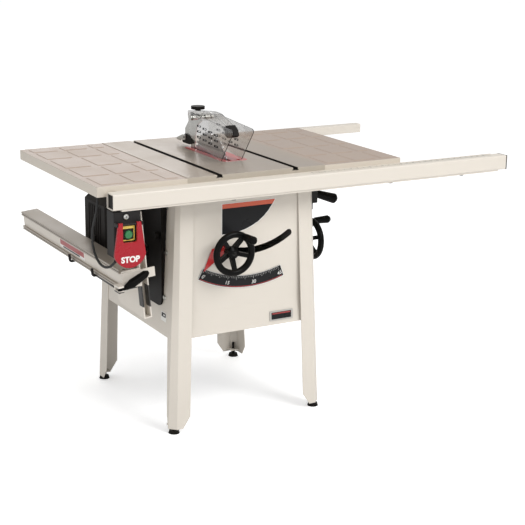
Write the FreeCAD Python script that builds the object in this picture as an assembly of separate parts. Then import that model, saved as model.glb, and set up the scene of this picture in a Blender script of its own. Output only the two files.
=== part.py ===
"""Left-tilting cabinet table saw with extension wings, T-square rails and a stored rip fence.

Millimetres.  While it is being drawn, X = 0 is the blade's plane, Y = 0 is the middle of the
table and Z = 0 is the floor; +X is to the operator's right and -Y is the operator's side.
At the end everything is moved so that the origin is the middle of the footprint, on the floor.
"""
import FreeCAD, Part
import math
import os

V = FreeCAD.Vector
os.makedirs("parts", exist_ok=True)

# ------------------------------------------------------------------ driving dimensions
# table and wings
TABLE_TOP = 868.0
TABLE_WIDTH = 508.0
TABLE_DEPTH = 686.0
TABLE_PLATE = 10.0
TABLE_SKIRT = 38.0
TABLE_WALL = 9.0
SEAT_RIB = 28.0
WING_WIDTH = 305.0
WING_SHEET = 2.5
WING_LIP = 34.0
PAD_RISE = 1.6
PAD_BEVEL = 2.4
PAD_CHANNEL = 22.0
PAD_COLUMNS = (0.392, 0.378, 0.23)
PAD_ROWS = (0.214, 0.223, 0.25, 0.2, 0.113)
SLOT_OFFSET = 140.0
SLOT_WIDTH = 19.0
SLOT_DEPTH = 9.5
SLOT_T_WIDTH = 24.0
SLOT_T_HEIGHT = 3.0
SLOT_BOSS = 36.0
SLOT_FLOOR = 8.0
# table insert
INSERT_LEFT = 30.0
INSERT_RIGHT = 68.0
INSERT_FRONT = 162.0
INSERT_REAR = 150.0
INSERT_THICK = 4.0
INSERT_LEDGE = 7.0
INSERT_RADIUS = 22.0
BLADE_SLOT_LEFT = 5.0
BLADE_SLOT_RIGHT = 9.0
FIT = 0.3
RUNNING = 0.06
# rails
RAIL_TUBE = 50.0
RAIL_TUBE_WALL = 3.0
RAIL_LEFT = 530.0
RAIL_RIGHT = 980.0
RAIL_DROP = 18.0
RAIL_ANGLE = 5.0
RAIL_ANGLE_LEG = 50.0
RAIL_CAP = 4.0
RAIL_BOLT_PITCH = 303.0
REAR_RAIL_RIGHT = 852.0
REAR_RAIL_DROP = 7.0
REAR_RAIL_LEG = 33.0
# stand
STAND_X = -12.0
LEG_SHEET = 2.5
LEG_SIDE_OVERHANG = 2.0
LEG_FRONT_OVERHANG = 52.0
LEG_REAR_OVERHANG = 38.0
LEG_SIDE_SPLAY = 39.0
LEG_FRONT_SPLAY = 26.0
LEG_REAR_SPLAY = 8.0
FRONT_LEG_FACE = (60.0, 70.0)
FRONT_LEG_SIDE = (65.0, 34.0)
REAR_LEG_FACE = (60.0, 79.0)
REAR_LEG_SIDE = (62.0, 84.0)
LEG_BEVEL = (12.0, 22.0)
LEG_BOTTOM = 16.0
LEG_CHAMFER_WIDE = 25.0
LEG_CHAMFER_HIGH = 37.0
PANEL_GAP = 0.1
FOOT_INSET = 20.0
FOOT_RADIUS = 19.0
FOOT_HEIGHT = 11.0
FOOT_STUD = 5.0
FOOT_PLATE_Z = 26.0
FOOT_PLATE = 4.0
FOOT_PLATE_WIDE = 38.0
FOOT_NUT = 9.0
PANEL_SHEET = 2.0
PANEL_BOTTOM = 320.0
PANEL_FOLD = 405.0
APRON_FLARE = 7.0
# tilting mechanism
SHAFT = 6.0
RAISE_ANGLE = -20.0
RAISE_REACH = 277.0
ARC_SLOT_HALF = 12.0
ARC_SLOT_KEYHOLE = 21.0
SLEEVE_RADIUS = 9.0
ARC_SLOT_END = 33.0
SCALE_INNER = 360.0
SCALE_OUTER = 402.0
SCALE_FROM = -28.5
SCALE_TO = 19.5
SCALE_PLATE = 2.0
WHEEL_RIM = 64.0
WHEEL_TUBE = 11.0
WHEEL_HUB = 19.0
WHEEL_SPOKES = 5
WHEEL_DISH = 16.0
GRIP_LENGTH = 60.0
GRIP_RADIUS = 14.0
RAISE_WHEEL_OUT = 41.6
TILT_WHEEL_OUT = 68.0
PLATE_FRONT = -166.0
PLATE_THICK = 14.0
PLATE_REAR = 214.0
TONGUE_INNER = 46.0
TONGUE_OUTER = 54.0
TONGUE_LONG = 11.0
BRACKET_RADIUS = 64.0
BRACKET_THICK = 17.0
SEGMENT_OUTER = 300.0
SEGMENT_RIM = 16.0
SEGMENT_TOOTH = 5.0
SEGMENT_STEP = 2.4
WORM_Y = -118.0
WORM_RADIUS = 14.0
WORM_LENGTH = 44.0
WORM_GAP = 0.4
# arbor, blade and motor
BLADE_Y = -12.0
BLADE_RADIUS = 127.0
BLADE_THICK = 3.2
BLADE_TEETH = 40
ARBOR_DROP = 48.0
ARBOR = 7.9375
ARBOR_HOUSING = 26.0
FLANGE = 27.0
PULLEY_X = -73.0
PULLEY_WIDE = 16.0
ARBOR_PULLEY = 31.0
MOTOR_PULLEY = 36.0
PULLEY_FLANGE = 3.0
BELT_THICK = 5.0
MOTOR_Y = 97.0
MOTOR_DROP = 165.0
MOTOR_RADIUS = 75.0
MOTOR_FACE = -92.0
MOTOR_LONG = 236.0
POST_X = -39.0
POST_FRONT = -100.0
POST_REAR = 100.0
POST_RADIUS = 10.0
SLEEVE_WALL = 10.0
SLEEVE_LONG = 58.0
SADDLE_Z = 606.0
SADDLE_HIGH = 28.0
SCREW_Y = -75.0
SCREW_RADIUS = 8.0
BEVEL_RADIUS = 18.0
# guard
SPREADER_THICK = 2.4
GUARD_GAP = 5.0
LEAF_INSIDE = 37.0
LEAF_THICK = 3.0
LEAF_PIVOT_Y = 60.0
LEAF_PIVOT_RISE = 117.0
GUARD_PIN = 4.0
BLOCK_HALF = 7.0
PAWL_THICK = 3.0
PAWL_Y = 176.0
PAWL_RISE = 30.0
SPINE_HALF = 15.0
SPINE_WALL = 2.5
# switch
SWITCH_X = -480.0
SWITCH_WIDE = 88.0
SWITCH_DEEP = 56.0
SWITCH_HIGH = 142.0
SWITCH_BEHIND = 16.0
SWITCH_BELOW = 3.0
SWITCH_SCREW_DROP = 14.0
PADDLE_HINGE_DROP = 36.0
PADDLE_GAP = 11.0
PADDLE_THICK = 8.0
PADDLE_TOP_HALF = 37.0
PADDLE_WIDE_HALF = 52.0
PADDLE_WIDE_DROP = 131.0
PADDLE_ROUND = 41.0
PADDLE_NOTCH_HALF = 23.5
PADDLE_NOTCH_DROP = 92.0
BUTTON_RADIUS = 13.0
BUTTON_DROP = 70.0
# fence and its hooks
FENCE_X = -443.5
FENCE_Z = 558.0
FENCE_ROLL = 5.5
FENCE_DEEP = 63.0
FENCE_HIGH = 66.0
FENCE_FACE = 13.0
FENCE_WALL = 2.5
FENCE_FRONT = -322.0
FENCE_REAR = 590.0
HEAD_LONG = 350.0
HEAD_BELOW = 140.0
HEAD_LEG = 40.0
HEAD_WIDE = 27.0
HEAD_WALL = 4.0
GUSSET_REAR = -123.0
GUSSET_HIGH = 280.0
END_PLATE_RIGHT = 82.0
END_PLATE_HIGH = 31.0
LEVER_OUT = 50.0
LEVER_DROP = 14.0
LEVER_REACH = 22.0
LEVER_PIN = 3.0
LEVER_EAR = 6.0
LEVER_LONG = 94.0
LEVER_RISE = 40.0
LEVER_RADIUS = 14.5
HOOK_RADIUS = 4.5
HOOK_FRONT = -100.0
HOOK_REAR = 100.0
HOOK_LIP = 26.0
HOOK_GAP = 4.0
# motor cover
COVER_FLANGE_X = -287.0
COVER_RIB_PITCH = 16.0
COVER_RIB_PROUD = 2.0
COVER_FRONT = -217.0
COVER_BACK = 235.0
COVER_LOW = 415.0
COVER_HIGH = 785.0
COVER_WALL = 3.0
BULGE_X = -388.0
BULGE_FRONT = 4.0
BULGE_BACK = 192.0
BULGE_LOW = 430.0
BULGE_HIGH = 745.0
COVER_CAP = 36.0
# mitre gauge
GAUGE_Z = 738.0
GAUGE_PIVOT_Y = -215.0
GAUGE_BAR_WIDE = 19.0
GAUGE_BAR_THICK = 9.5
GAUGE_BAR_LONG = 440.0
GAUGE_GAP = 4.0
GAUGE_HEAD = 45.0
GAUGE_PLATE = 12.0
GAUGE_FACE_Y = 20.0
GAUGE_FACE_OUT = 30.0
GAUGE_FACE_HALF = 23.0
GAUGE_PIN = 6.0
GAUGE_BOSS = 8.0
GAUGE_HANDLE = 108.0
GAUGE_HANDLE_RISE = 9.0
GAUGE_DROOP = 18.0
# dust port
PORT_RADIUS = 50.0
PORT_WALL = 3.0
PORT_LONG = 46.0
PORT_Z = 404.0
# cord between the switch box and the underside of the left wing
CORD_RADIUS = 4.0
CORD_ROUTE = [(-512, -372, 640), (-521, -361, 620), (-530, -337, 609), (-535, -308, 610),
              (-538, -281, 624), (-540, -260, 648), (-540, -250, 679), (-540, -253, 711),
              (-539, -266, 742), (-537, -280, 772), (-535, -286, 803), (-532, -281, 833),
              (-530, -271, 858)]

DEPTH_OF_CUT = BLADE_RADIUS - ARBOR_DROP
ARBOR_Z = TABLE_TOP - ARBOR_DROP
MOTOR_Z = ARBOR_Z - MOTOR_DROP
TABLE_UNDER = TABLE_TOP - TABLE_PLATE
STAND_TOP = TABLE_TOP - TABLE_SKIRT
HALF_WIDTH = TABLE_WIDTH / 2
HALF_DEPTH = TABLE_DEPTH / 2
LEG_HALF_TOP = HALF_WIDTH - LEG_SIDE_OVERHANG
LEG_FRONT_TOP = HALF_DEPTH - LEG_FRONT_OVERHANG
LEG_REAR_TOP = HALF_DEPTH - LEG_REAR_OVERHANG
TUBE_TOP = TABLE_TOP - RAIL_DROP
TUBE_BOTTOM = TUBE_TOP - RAIL_TUBE
TUBE_BACK = -HALF_DEPTH - RAIL_ANGLE
TUBE_FRONT = TUBE_BACK - RAIL_TUBE
PANEL_Y = -(LEG_FRONT_TOP - LEG_SHEET - PANEL_GAP)
PANEL_REAR_Y = LEG_REAR_TOP - LEG_SHEET - PANEL_GAP
REAR_FLARE = 0.6 * LEG_REAR_SPLAY * (STAND_TOP - PANEL_BOTTOM) / STAND_TOP
SWITCH_BACK = TUBE_BACK + SWITCH_BEHIND
SWITCH_FRONT = SWITCH_BACK - SWITCH_DEEP
SWITCH_TOP = TUBE_BOTTOM - RAIL_ANGLE - SWITCH_BELOW
SWITCH_BOTTOM = SWITCH_TOP - SWITCH_HIGH
PADDLE_HINGE_Z = SWITCH_TOP - PADDLE_HINGE_DROP
PADDLE_WIDE_Z = SWITCH_TOP - PADDLE_WIDE_DROP
PADDLE_NOTCH_Z = SWITCH_TOP - PADDLE_NOTCH_DROP
BUTTON_Z = SWITCH_TOP - BUTTON_DROP
RAISE_X = RAISE_REACH * math.sin(math.radians(RAISE_ANGLE))
RAISE_Z = TABLE_TOP - RAISE_REACH * math.cos(math.radians(RAISE_ANGLE))
WORM_Z = TABLE_TOP - SEGMENT_OUTER - WORM_GAP - WORM_RADIUS
LEAF_PIVOT_Z = TABLE_TOP + LEAF_PIVOT_RISE

NODES = {}


# ------------------------------------------------------------------ small helpers
def box(x0, x1, y0, y1, z0, z1):
    return Part.makeBox(x1 - x0, y1 - y0, z1 - z0, V(x0, y0, z0))


def rod(axis, at, radius, start, stop):
    """Round bar along an axis; `at` holds its two other coordinates in X, Y, Z order."""
    a, b = at
    if axis == "x":
        return Part.makeCylinder(radius, stop - start, V(start, a, b), V(1, 0, 0))
    if axis == "y":
        return Part.makeCylinder(radius, stop - start, V(a, start, b), V(0, 1, 0))
    return Part.makeCylinder(radius, stop - start, V(a, b, start), V(0, 0, 1))


def tube(axis, at, outer, inner, start, stop):
    return rod(axis, at, outer, start, stop).cut(rod(axis, at, inner, start - 1, stop + 1))


def prism(axis, points, start, stop):
    """Straight extrusion of an outline drawn in the two other coordinates, X, Y, Z order."""
    if axis == "x":
        corners = [V(start, a, b) for a, b in points]
        way = V(stop - start, 0, 0)
    elif axis == "y":
        corners = [V(a, start, b) for a, b in points]
        way = V(0, stop - start, 0)
    else:
        corners = [V(a, b, start) for a, b in points]
        way = V(0, 0, stop - start)
    return Part.Face(Part.makePolygon(corners + corners[:1])).extrude(way)


def join(shapes):
    return shapes[0].multiFuse(shapes[1:]).removeSplitter()


def around_tilt(reach, angle, y):
    """Point at a distance and an angle from straight down about the tilting axis."""
    turn = math.radians(angle)
    return V(reach * math.sin(turn), y, TABLE_TOP - reach * math.cos(turn))


def sector(inner, outer, start, stop, y0, y1):
    """Ring sector about the tilting axis between two angles from straight down."""
    middle = (start + stop) / 2
    edges = [Part.Arc(around_tilt(outer, start, y0), around_tilt(outer, middle, y0),
                      around_tilt(outer, stop, y0)).toShape(),
             Part.LineSegment(around_tilt(outer, stop, y0), around_tilt(inner, stop, y0)).toShape(),
             Part.Arc(around_tilt(inner, stop, y0), around_tilt(inner, middle, y0),
                      around_tilt(inner, start, y0)).toShape(),
             Part.LineSegment(around_tilt(inner, start, y0), around_tilt(outer, start, y0)).toShape()]
    return Part.Face(Part.Wire(edges)).extrude(V(0, y1 - y0, 0))


def rounded_slab(x0, x1, y0, y1, z0, z1, radius):
    slab = box(x0, x1, y0, y1, z0, z1)
    upright = [e for e in slab.Edges if abs(e.Vertexes[0].Z - e.Vertexes[1].Z) > (z1 - z0) / 2]
    return slab.makeFillet(radius, upright)


def keep(name, shape):
    """Store one named sub-part after checking that every piece of it is a sound solid."""
    solids = shape.Solids
    if not solids or not shape.isValid():
        raise ValueError("unsound shape: " + name)
    NODES[name] = shape if len(solids) > 1 else solids[0]


def bent_path(points, bends):
    """Wire of straight runs joined by tangent arcs, one bend radius per inner point."""
    edges = []
    last = points[0]
    for before, here, after, radius in zip(points, points[1:], points[2:], bends):
        a, b = V(before - here).normalize(), V(after - here).normalize()
        half_turn = (math.pi - a.getAngle(b)) / 2
        back = radius * math.tan(half_turn)
        middle = here + V(a + b).normalize() * (radius / math.cos(half_turn) - radius)
        edges.append(Part.LineSegment(last, here + a * back).toShape())
        edges.append(Part.Arc(here + a * back, middle, here + b * back).toShape())
        last = here + b * back
    edges.append(Part.LineSegment(last, points[-1]).toShape())
    return Part.Wire(edges)


def swept_rod(path, start, way, radius):
    ring = Part.Wire([Part.Circle(start, V(way).normalize(), radius).toShape()])
    return path.makePipeShell([ring], True, False)


def side_x(side, z):
    """Outer face of a side panel, which leans out with the legs."""
    splay = LEG_SIDE_SPLAY * (STAND_TOP - z) / STAND_TOP
    return STAND_X + side * (LEG_HALF_TOP - LEG_SHEET - PANEL_GAP + splay)


# ------------------------------------------------------------------ table and wings
def main_table():
    bottom = TABLE_TOP - TABLE_SKIRT
    plate = box(-HALF_WIDTH, HALF_WIDTH, -HALF_DEPTH, HALF_DEPTH, TABLE_UNDER, TABLE_TOP)
    skirt = box(-HALF_WIDTH, HALF_WIDTH, -HALF_DEPTH, HALF_DEPTH, bottom, TABLE_UNDER)
    skirt = skirt.cut(box(TABLE_WALL - HALF_WIDTH, HALF_WIDTH - TABLE_WALL,
                          TABLE_WALL - HALF_DEPTH, HALF_DEPTH - TABLE_WALL, bottom, TABLE_UNDER))
    pieces = [plate, skirt]
    boss_z = TABLE_TOP - SLOT_DEPTH - SLOT_FLOOR
    for side in (-1, 1):
        middle = side * SLOT_OFFSET
        pieces.append(box(middle - SLOT_BOSS / 2, middle + SLOT_BOSS / 2,
                          -HALF_DEPTH, HALF_DEPTH, boss_z, TABLE_UNDER))
    for y in (-LEG_FRONT_TOP, LEG_REAR_TOP):
        pieces.append(box(-HALF_WIDTH + TABLE_WALL, HALF_WIDTH - TABLE_WALL, y - SEAT_RIB / 2,
                          y + SEAT_RIB / 2, bottom, TABLE_UNDER))
    table = join(pieces)
    cuts = []
    for side in (-1, 1):
        middle = side * SLOT_OFFSET
        cuts.append(box(middle - SLOT_WIDTH / 2, middle + SLOT_WIDTH / 2, -HALF_DEPTH - 1,
                        HALF_DEPTH + 1, TABLE_TOP - SLOT_DEPTH, TABLE_TOP + 1))
        cuts.append(box(middle - SLOT_T_WIDTH / 2, middle + SLOT_T_WIDTH / 2, -HALF_DEPTH - 1,
                        HALF_DEPTH + 1, TABLE_TOP - SLOT_DEPTH,
                        TABLE_TOP - SLOT_DEPTH + SLOT_T_HEIGHT))
    cuts.append(rounded_slab(-INSERT_LEFT, INSERT_RIGHT, -INSERT_FRONT, INSERT_REAR,
                             TABLE_TOP - INSERT_THICK, TABLE_TOP + 1, INSERT_RADIUS))
    cuts.append(rounded_slab(INSERT_LEDGE - INSERT_LEFT, INSERT_RIGHT - INSERT_LEDGE,
                             INSERT_LEDGE - INSERT_FRONT, INSERT_REAR - INSERT_LEDGE,
                             TABLE_UNDER - 1, TABLE_TOP, INSERT_RADIUS - INSERT_LEDGE))
    keep("main_table", table.cut(cuts[0].multiFuse(cuts[1:])))


def raised_pad(x0, x1, y0, y1, base):
    """Pressed rectangle that stands up from the sheet with sloping edges."""
    def outline(inset, z):
        corners = [V(x0 + inset, y0 + inset, z), V(x1 - inset, y0 + inset, z),
                   V(x1 - inset, y1 - inset, z), V(x0 + inset, y1 - inset, z)]
        return Part.makePolygon(corners + corners[:1])
    return Part.makeLoft([outline(0, base), outline(PAD_BEVEL, base + PAD_RISE)], True, True)


def wing(name, left):
    """Stamped extension wing: rimmed sheet with a field of raised rectangles."""
    sheet_top = TABLE_TOP - PAD_RISE
    right = left + WING_WIDTH
    low = TABLE_TOP - WING_LIP
    shell = box(left, right, -HALF_DEPTH, HALF_DEPTH, low, sheet_top)
    shell = shell.cut(box(left + WING_SHEET, right - WING_SHEET, WING_SHEET - HALF_DEPTH,
                          HALF_DEPTH - WING_SHEET, low, sheet_top - WING_SHEET))
    pieces = [shell]
    margin = PAD_CHANNEL / 2
    span_x = WING_WIDTH - PAD_CHANNEL
    span_y = TABLE_DEPTH - PAD_CHANNEL
    x = left + margin
    for share in PAD_COLUMNS:
        x_next = x + share * span_x
        y = margin - HALF_DEPTH
        for row in PAD_ROWS:
            y_next = y + row * span_y
            pieces.append(raised_pad(x + margin, x_next - margin, y + margin, y_next - margin,
                                     sheet_top))
            y = y_next
        x = x_next
    for y in (-HALF_DEPTH / 3, HALF_DEPTH / 3):
        pieces.append(box(left + WING_SHEET, right - WING_SHEET, y - margin, y + margin,
                          sheet_top - WING_SHEET - margin, sheet_top - WING_SHEET))
    keep(name, join(pieces))


def table_insert():
    plate = rounded_slab(FIT - INSERT_LEFT, INSERT_RIGHT - FIT, FIT - INSERT_FRONT,
                         INSERT_REAR - FIT, TABLE_TOP - INSERT_THICK, TABLE_TOP,
                         INSERT_RADIUS - FIT)
    slot = box(-BLADE_SLOT_LEFT, BLADE_SLOT_RIGHT, INSERT_LEDGE + 8 - INSERT_FRONT,
               INSERT_REAR - INSERT_LEDGE - 1, TABLE_TOP - INSERT_THICK - 1, TABLE_TOP + 1)
    lift_hole = rod("z", ((INSERT_RIGHT + BLADE_SLOT_RIGHT) / 2, INSERT_LEDGE + 16 - INSERT_FRONT),
                    8, TABLE_TOP - INSERT_THICK - 1, TABLE_TOP + 1)
    keep("table_insert", plate.cut(slot).cut(lift_hole))


# ------------------------------------------------------------------ rails
def rails():
    back = -HALF_DEPTH
    angle = join([box(-RAIL_LEFT + 30, RAIL_RIGHT - 30, back - RAIL_ANGLE, back,
                      TUBE_BOTTOM - RAIL_ANGLE, TUBE_TOP),
                  box(-RAIL_LEFT + 30, RAIL_RIGHT - 30, back - RAIL_ANGLE_LEG, back,
                      TUBE_BOTTOM - RAIL_ANGLE, TUBE_BOTTOM)])
    bolts = []
    first = RAIL_RIGHT - 2 * RAIL_BOLT_PITCH - 174
    for step in range(-2, 3):
        x = first + step * RAIL_BOLT_PITCH
        y = TUBE_BACK - RAIL_TUBE / 2 + 6
        hole = rod("z", (x, y), 4.2, TUBE_BOTTOM - RAIL_ANGLE - 1, TUBE_BOTTOM + 1)
        angle = angle.cut(hole)
        bolts.append(Part.makeCylinder(8, 7, V(x, y, TUBE_BOTTOM - RAIL_ANGLE - 7))
                     .fuse(rod("z", (x, y), 4, TUBE_BOTTOM - RAIL_ANGLE - 1, TUBE_BOTTOM)))
    keep("front_angle_rail", angle)
    outside = box(-RAIL_LEFT, RAIL_RIGHT, TUBE_FRONT, TUBE_BACK, TUBE_BOTTOM, TUBE_TOP)
    long_edges = [e for e in outside.Edges if e.BoundBox.XLength > RAIL_TUBE * 2]
    outside = outside.makeFillet(5, long_edges)
    inside = box(-RAIL_LEFT - 1, RAIL_RIGHT + 1, TUBE_FRONT + RAIL_TUBE_WALL,
                 TUBE_BACK - RAIL_TUBE_WALL, TUBE_BOTTOM + RAIL_TUBE_WALL,
                 TUBE_TOP - RAIL_TUBE_WALL)
    keep("front_tube_rail", outside.cut(inside))
    plug = (TUBE_FRONT + RAIL_TUBE_WALL, TUBE_BACK - RAIL_TUBE_WALL,
            TUBE_BOTTOM + RAIL_TUBE_WALL, TUBE_TOP - RAIL_TUBE_WALL)
    left_cap = box(-RAIL_LEFT + RAIL_CAP, -RAIL_LEFT + 3 * RAIL_CAP, *plug)
    right_cap = join([box(RAIL_RIGHT - 2 * RAIL_CAP, RAIL_RIGHT, *plug),
                      box(RAIL_RIGHT, RAIL_RIGHT + RAIL_CAP, TUBE_FRONT, TUBE_BACK,
                          TUBE_BOTTOM, TUBE_TOP)])
    keep("rail_fittings", Part.makeCompound(bolts + [left_cap, right_cap]))
    top = TABLE_TOP - REAR_RAIL_DROP
    keep("rear_angle_rail", join([
        box(-RAIL_LEFT, REAR_RAIL_RIGHT, HALF_DEPTH, HALF_DEPTH + RAIL_ANGLE,
            top - REAR_RAIL_LEG, top),
        box(-RAIL_LEFT, REAR_RAIL_RIGHT, HALF_DEPTH, HALF_DEPTH + REAR_RAIL_LEG,
            top - RAIL_ANGLE, top)]))


# ------------------------------------------------------------------ stand
def leg(side, end):
    """Folded sheet leg with a bevelled corner that leans out; its two flanges taper."""
    top_y, splay_y = ((LEG_FRONT_TOP, LEG_FRONT_SPLAY) if end < 0
                      else (LEG_REAR_TOP, LEG_REAR_SPLAY))
    face, flank = ((FRONT_LEG_FACE, FRONT_LEG_SIDE) if end < 0
                   else (REAR_LEG_FACE, REAR_LEG_SIDE))

    def corner(z):
        """Outer corner, widths of the two flanges and size of the bevel at a height."""
        down = (STAND_TOP - z) / STAND_TOP
        widths = [top + (floor - top) * down for top, floor in (face, flank, LEG_BEVEL)]
        return [LEG_HALF_TOP + LEG_SIDE_SPLAY * down, top_y + splay_y * down] + widths

    def outline(z):
        cx, cy, wide, deep, c = corner(z)
        t, k = LEG_SHEET, 0.41 * LEG_SHEET
        shape = ((c, 0), (wide, 0), (wide, t), (c + k, t), (t, c + k), (t, deep), (0, deep), (0, c))
        points = [V(STAND_X + side * (cx - u), end * (cy - v), z) for u, v in shape]
        return Part.makePolygon(points + points[:1])

    shell = Part.makeLoft([outline(LEG_BOTTOM), outline(STAND_TOP)], True, True)
    cx, cy, wide, deep, bevel = corner(LEG_BOTTOM)
    # the inner corners of both flanges are cut away at the bottom
    for axis, width in (("y", wide), ("x", deep)):
        cut = min(LEG_CHAMFER_WIDE, width - bevel - 1.5 * LEG_SHEET)
        profile = [(width + LEG_CHAMFER_WIDE, 0), (width - cut, 0), (width - cut, LEG_BOTTOM),
                   (width, LEG_BOTTOM + LEG_CHAMFER_HIGH),
                   (width + LEG_CHAMFER_WIDE, LEG_BOTTOM + LEG_CHAMFER_HIGH)]
        if axis == "y":
            points = [(STAND_X + side * (cx - u), z) for u, z in profile]
            low, high = sorted((end * (cy + LEG_SHEET), end * (cy - 3 * LEG_SHEET)))
        else:
            points = [(end * (cy - v), z) for v, z in profile]
            low, high = sorted((STAND_X + side * (cx + LEG_SHEET),
                                STAND_X + side * (cx - 3 * LEG_SHEET)))
        shell = shell.cut(prism(axis, points, low, high))
    fx = STAND_X + side * (cx - FOOT_INSET)
    fy = end * (cy - FOOT_INSET)
    reach = LEG_SHEET / 2
    plate_top = FOOT_PLATE_Z + FOOT_PLATE
    rim = bevel + LEG_SHEET / 2
    plate = prism("z", [(STAND_X + side * (cx - u), end * (cy - v))
                        for u, v in ((rim, reach), (FOOT_PLATE_WIDE, reach),
                                     (FOOT_PLATE_WIDE, FOOT_PLATE_WIDE),
                                     (reach, FOOT_PLATE_WIDE), (reach, rim))],
                  FOOT_PLATE_Z, plate_top)
    plate = plate.cut(rod("z", (fx, fy), FOOT_STUD + FIT, 0, 2 * FOOT_PLATE_Z))
    sheet = join([shell, plate])
    pad = Part.makeCone(FOOT_RADIUS, FOOT_RADIUS - 3, FOOT_HEIGHT, V(fx, fy, 0))
    stud = rod("z", (fx, fy), FOOT_STUD, FOOT_HEIGHT, plate_top + 6 * FOOT_PLATE)
    corners = [math.radians(60 * i) for i in range(6)]
    nut = prism("z", [(fx + FOOT_NUT * math.cos(a), fy + FOOT_NUT * math.sin(a)) for a in corners],
                FOOT_PLATE_Z - 2 * FOOT_PLATE, FOOT_PLATE_Z)
    return sheet, join([pad, stud, nut])


def legs():
    feet = []
    for name, end in (("legs_front", -1), ("legs_rear", 1)):
        pair = [leg(side, end) for side in (-1, 1)]
        keep(name, Part.makeCompound([sheet for sheet, foot in pair]))
        feet += [foot for sheet, foot in pair]
    keep("levelling_feet", Part.makeCompound(feet))


def panels():
    tuck = LEG_BEVEL[0] + LEG_SHEET
    left = STAND_X - LEG_HALF_TOP + tuck
    right = STAND_X + LEG_HALF_TOP - tuck

    def apron(y, way, flare):
        t = PANEL_SHEET
        profile = [(y, STAND_TOP), (y, PANEL_FOLD), (y + way * flare, PANEL_BOTTOM),
                   (y + way * (flare - t), PANEL_BOTTOM), (y - way * t, PANEL_FOLD),
                   (y - way * t, STAND_TOP)]
        return prism("x", profile, left, right)

    front = apron(PANEL_Y, -1, APRON_FLARE)
    arc_slot = sector(RAISE_REACH - ARC_SLOT_HALF, RAISE_REACH + ARC_SLOT_HALF,
                      RAISE_ANGLE, ARC_SLOT_END, PANEL_Y - 1, PANEL_Y + PANEL_SHEET + 1)
    ends = [Part.makeCylinder(radius, PANEL_SHEET + 2,
                              around_tilt(RAISE_REACH, angle, PANEL_Y - 1), V(0, 1, 0))
            for radius, angle in ((ARC_SLOT_KEYHOLE, RAISE_ANGLE), (ARC_SLOT_HALF, ARC_SLOT_END))]
    keep("front_panel", front.cut(join([arc_slot] + ends)))
    rear = apron(PANEL_REAR_Y, 1, REAR_FLARE)
    rear = rear.cut(rod("y", (STAND_X, PORT_Z), PORT_RADIUS - PORT_WALL,
                        PANEL_REAR_Y - 10, PANEL_REAR_Y + REAR_FLARE + 5))
    keep("rear_panel", rear)
    for name, side in (("left_panel", -1), ("right_panel", 1)):
        t = side * PANEL_SHEET
        profile = [(side_x(side, STAND_TOP), STAND_TOP), (side_x(side, PANEL_BOTTOM), PANEL_BOTTOM),
                   (side_x(side, PANEL_BOTTOM) - t, PANEL_BOTTOM),
                   (side_x(side, STAND_TOP) - t, STAND_TOP)]
        sheet = prism("y", profile, tuck - LEG_FRONT_TOP, LEG_REAR_TOP - tuck)
        if side < 0:
            sheet = sheet.cut(box(side_x(-1, 0) - 9, 0, BULGE_FRONT - 6, BULGE_BACK + 6,
                                  COVER_LOW + 9, COVER_HIGH - 12))
        else:
            sheet = sheet.cut(rod("x", (WORM_Y, WORM_Z), SHAFT + 6, 0, side_x(1, 0) + 9))
        keep(name, sheet)


def dust_chute():
    """Sloping floor of the cabinet that feeds a round collar on the back."""
    slope = 26.0
    left = side_x(-1, PANEL_BOTTOM + 20) + PANEL_SHEET + 1
    right = side_x(1, PANEL_BOTTOM + 20) - PANEL_SHEET - 1
    low = PANEL_BOTTOM + 8
    front, rear = PANEL_Y + PANEL_SHEET + 0.1, PANEL_REAR_Y - PANEL_SHEET - 0.1
    pan = prism("x", [(front, low + slope), (rear, low), (rear, low + PANEL_SHEET),
                      (front, low + slope + PANEL_SHEET)], left, right)
    bevel_x, bevel_y = LEG_BEVEL[0] + LEG_SHEET, LEG_BEVEL[1] + LEG_SHEET
    for x, way_x in ((left, 1), (right, -1)):
        for y, way_y in ((front, 1), (rear, -1)):
            pan = pan.cut(prism("z", [(x - way_x, y - way_y), (x + way_x * bevel_x, y - way_y),
                                      (x - way_x, y + way_y * bevel_y)], 0, STAND_TOP))
    end = PANEL_REAR_Y + PORT_LONG
    collar = tube("y", (STAND_X, PORT_Z), PORT_RADIUS, PORT_RADIUS - PORT_WALL,
                  PANEL_REAR_Y, end)
    flange = tube("y", (STAND_X, PORT_Z), PORT_RADIUS + 13, PORT_RADIUS - PORT_WALL,
                  PANEL_REAR_Y, PANEL_REAR_Y + PORT_WALL)
    lower = prism("x", [(PANEL_REAR_Y, PANEL_FOLD), (PANEL_REAR_Y, PANEL_BOTTOM),
                        (PANEL_REAR_Y + REAR_FLARE + 0.1, PANEL_BOTTOM)],
                  STAND_X - 2 * PORT_RADIUS, STAND_X + 2 * PORT_RADIUS)
    keep("dust_chute", Part.makeCompound([pan, join([collar, flange]).cut(lower)]))


# ------------------------------------------------------------------ motor cover
def walls_apart(cover):
    """One moulding as simple walls that meet face to face, each outside the space it encloses."""
    cap_x = BULGE_X + COVER_CAP
    pan_x = COVER_FLANGE_X - COVER_WALL
    far = 2 * TABLE_TOP
    front, back = BULGE_FRONT + COVER_WALL, BULGE_BACK - COVER_WALL
    pieces = [cover.common(box(-far, cap_x, -far, far, 0, far))]
    for x0, x1 in ((cap_x, pan_x), (pan_x, 0)):
        for y0, y1 in ((-far, front), (front, back), (back, far)):
            pieces.append(cover.common(box(x0, x1, y0, y1, 0, far)))
    return [solid for piece in pieces for solid in piece.Solids]


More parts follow.
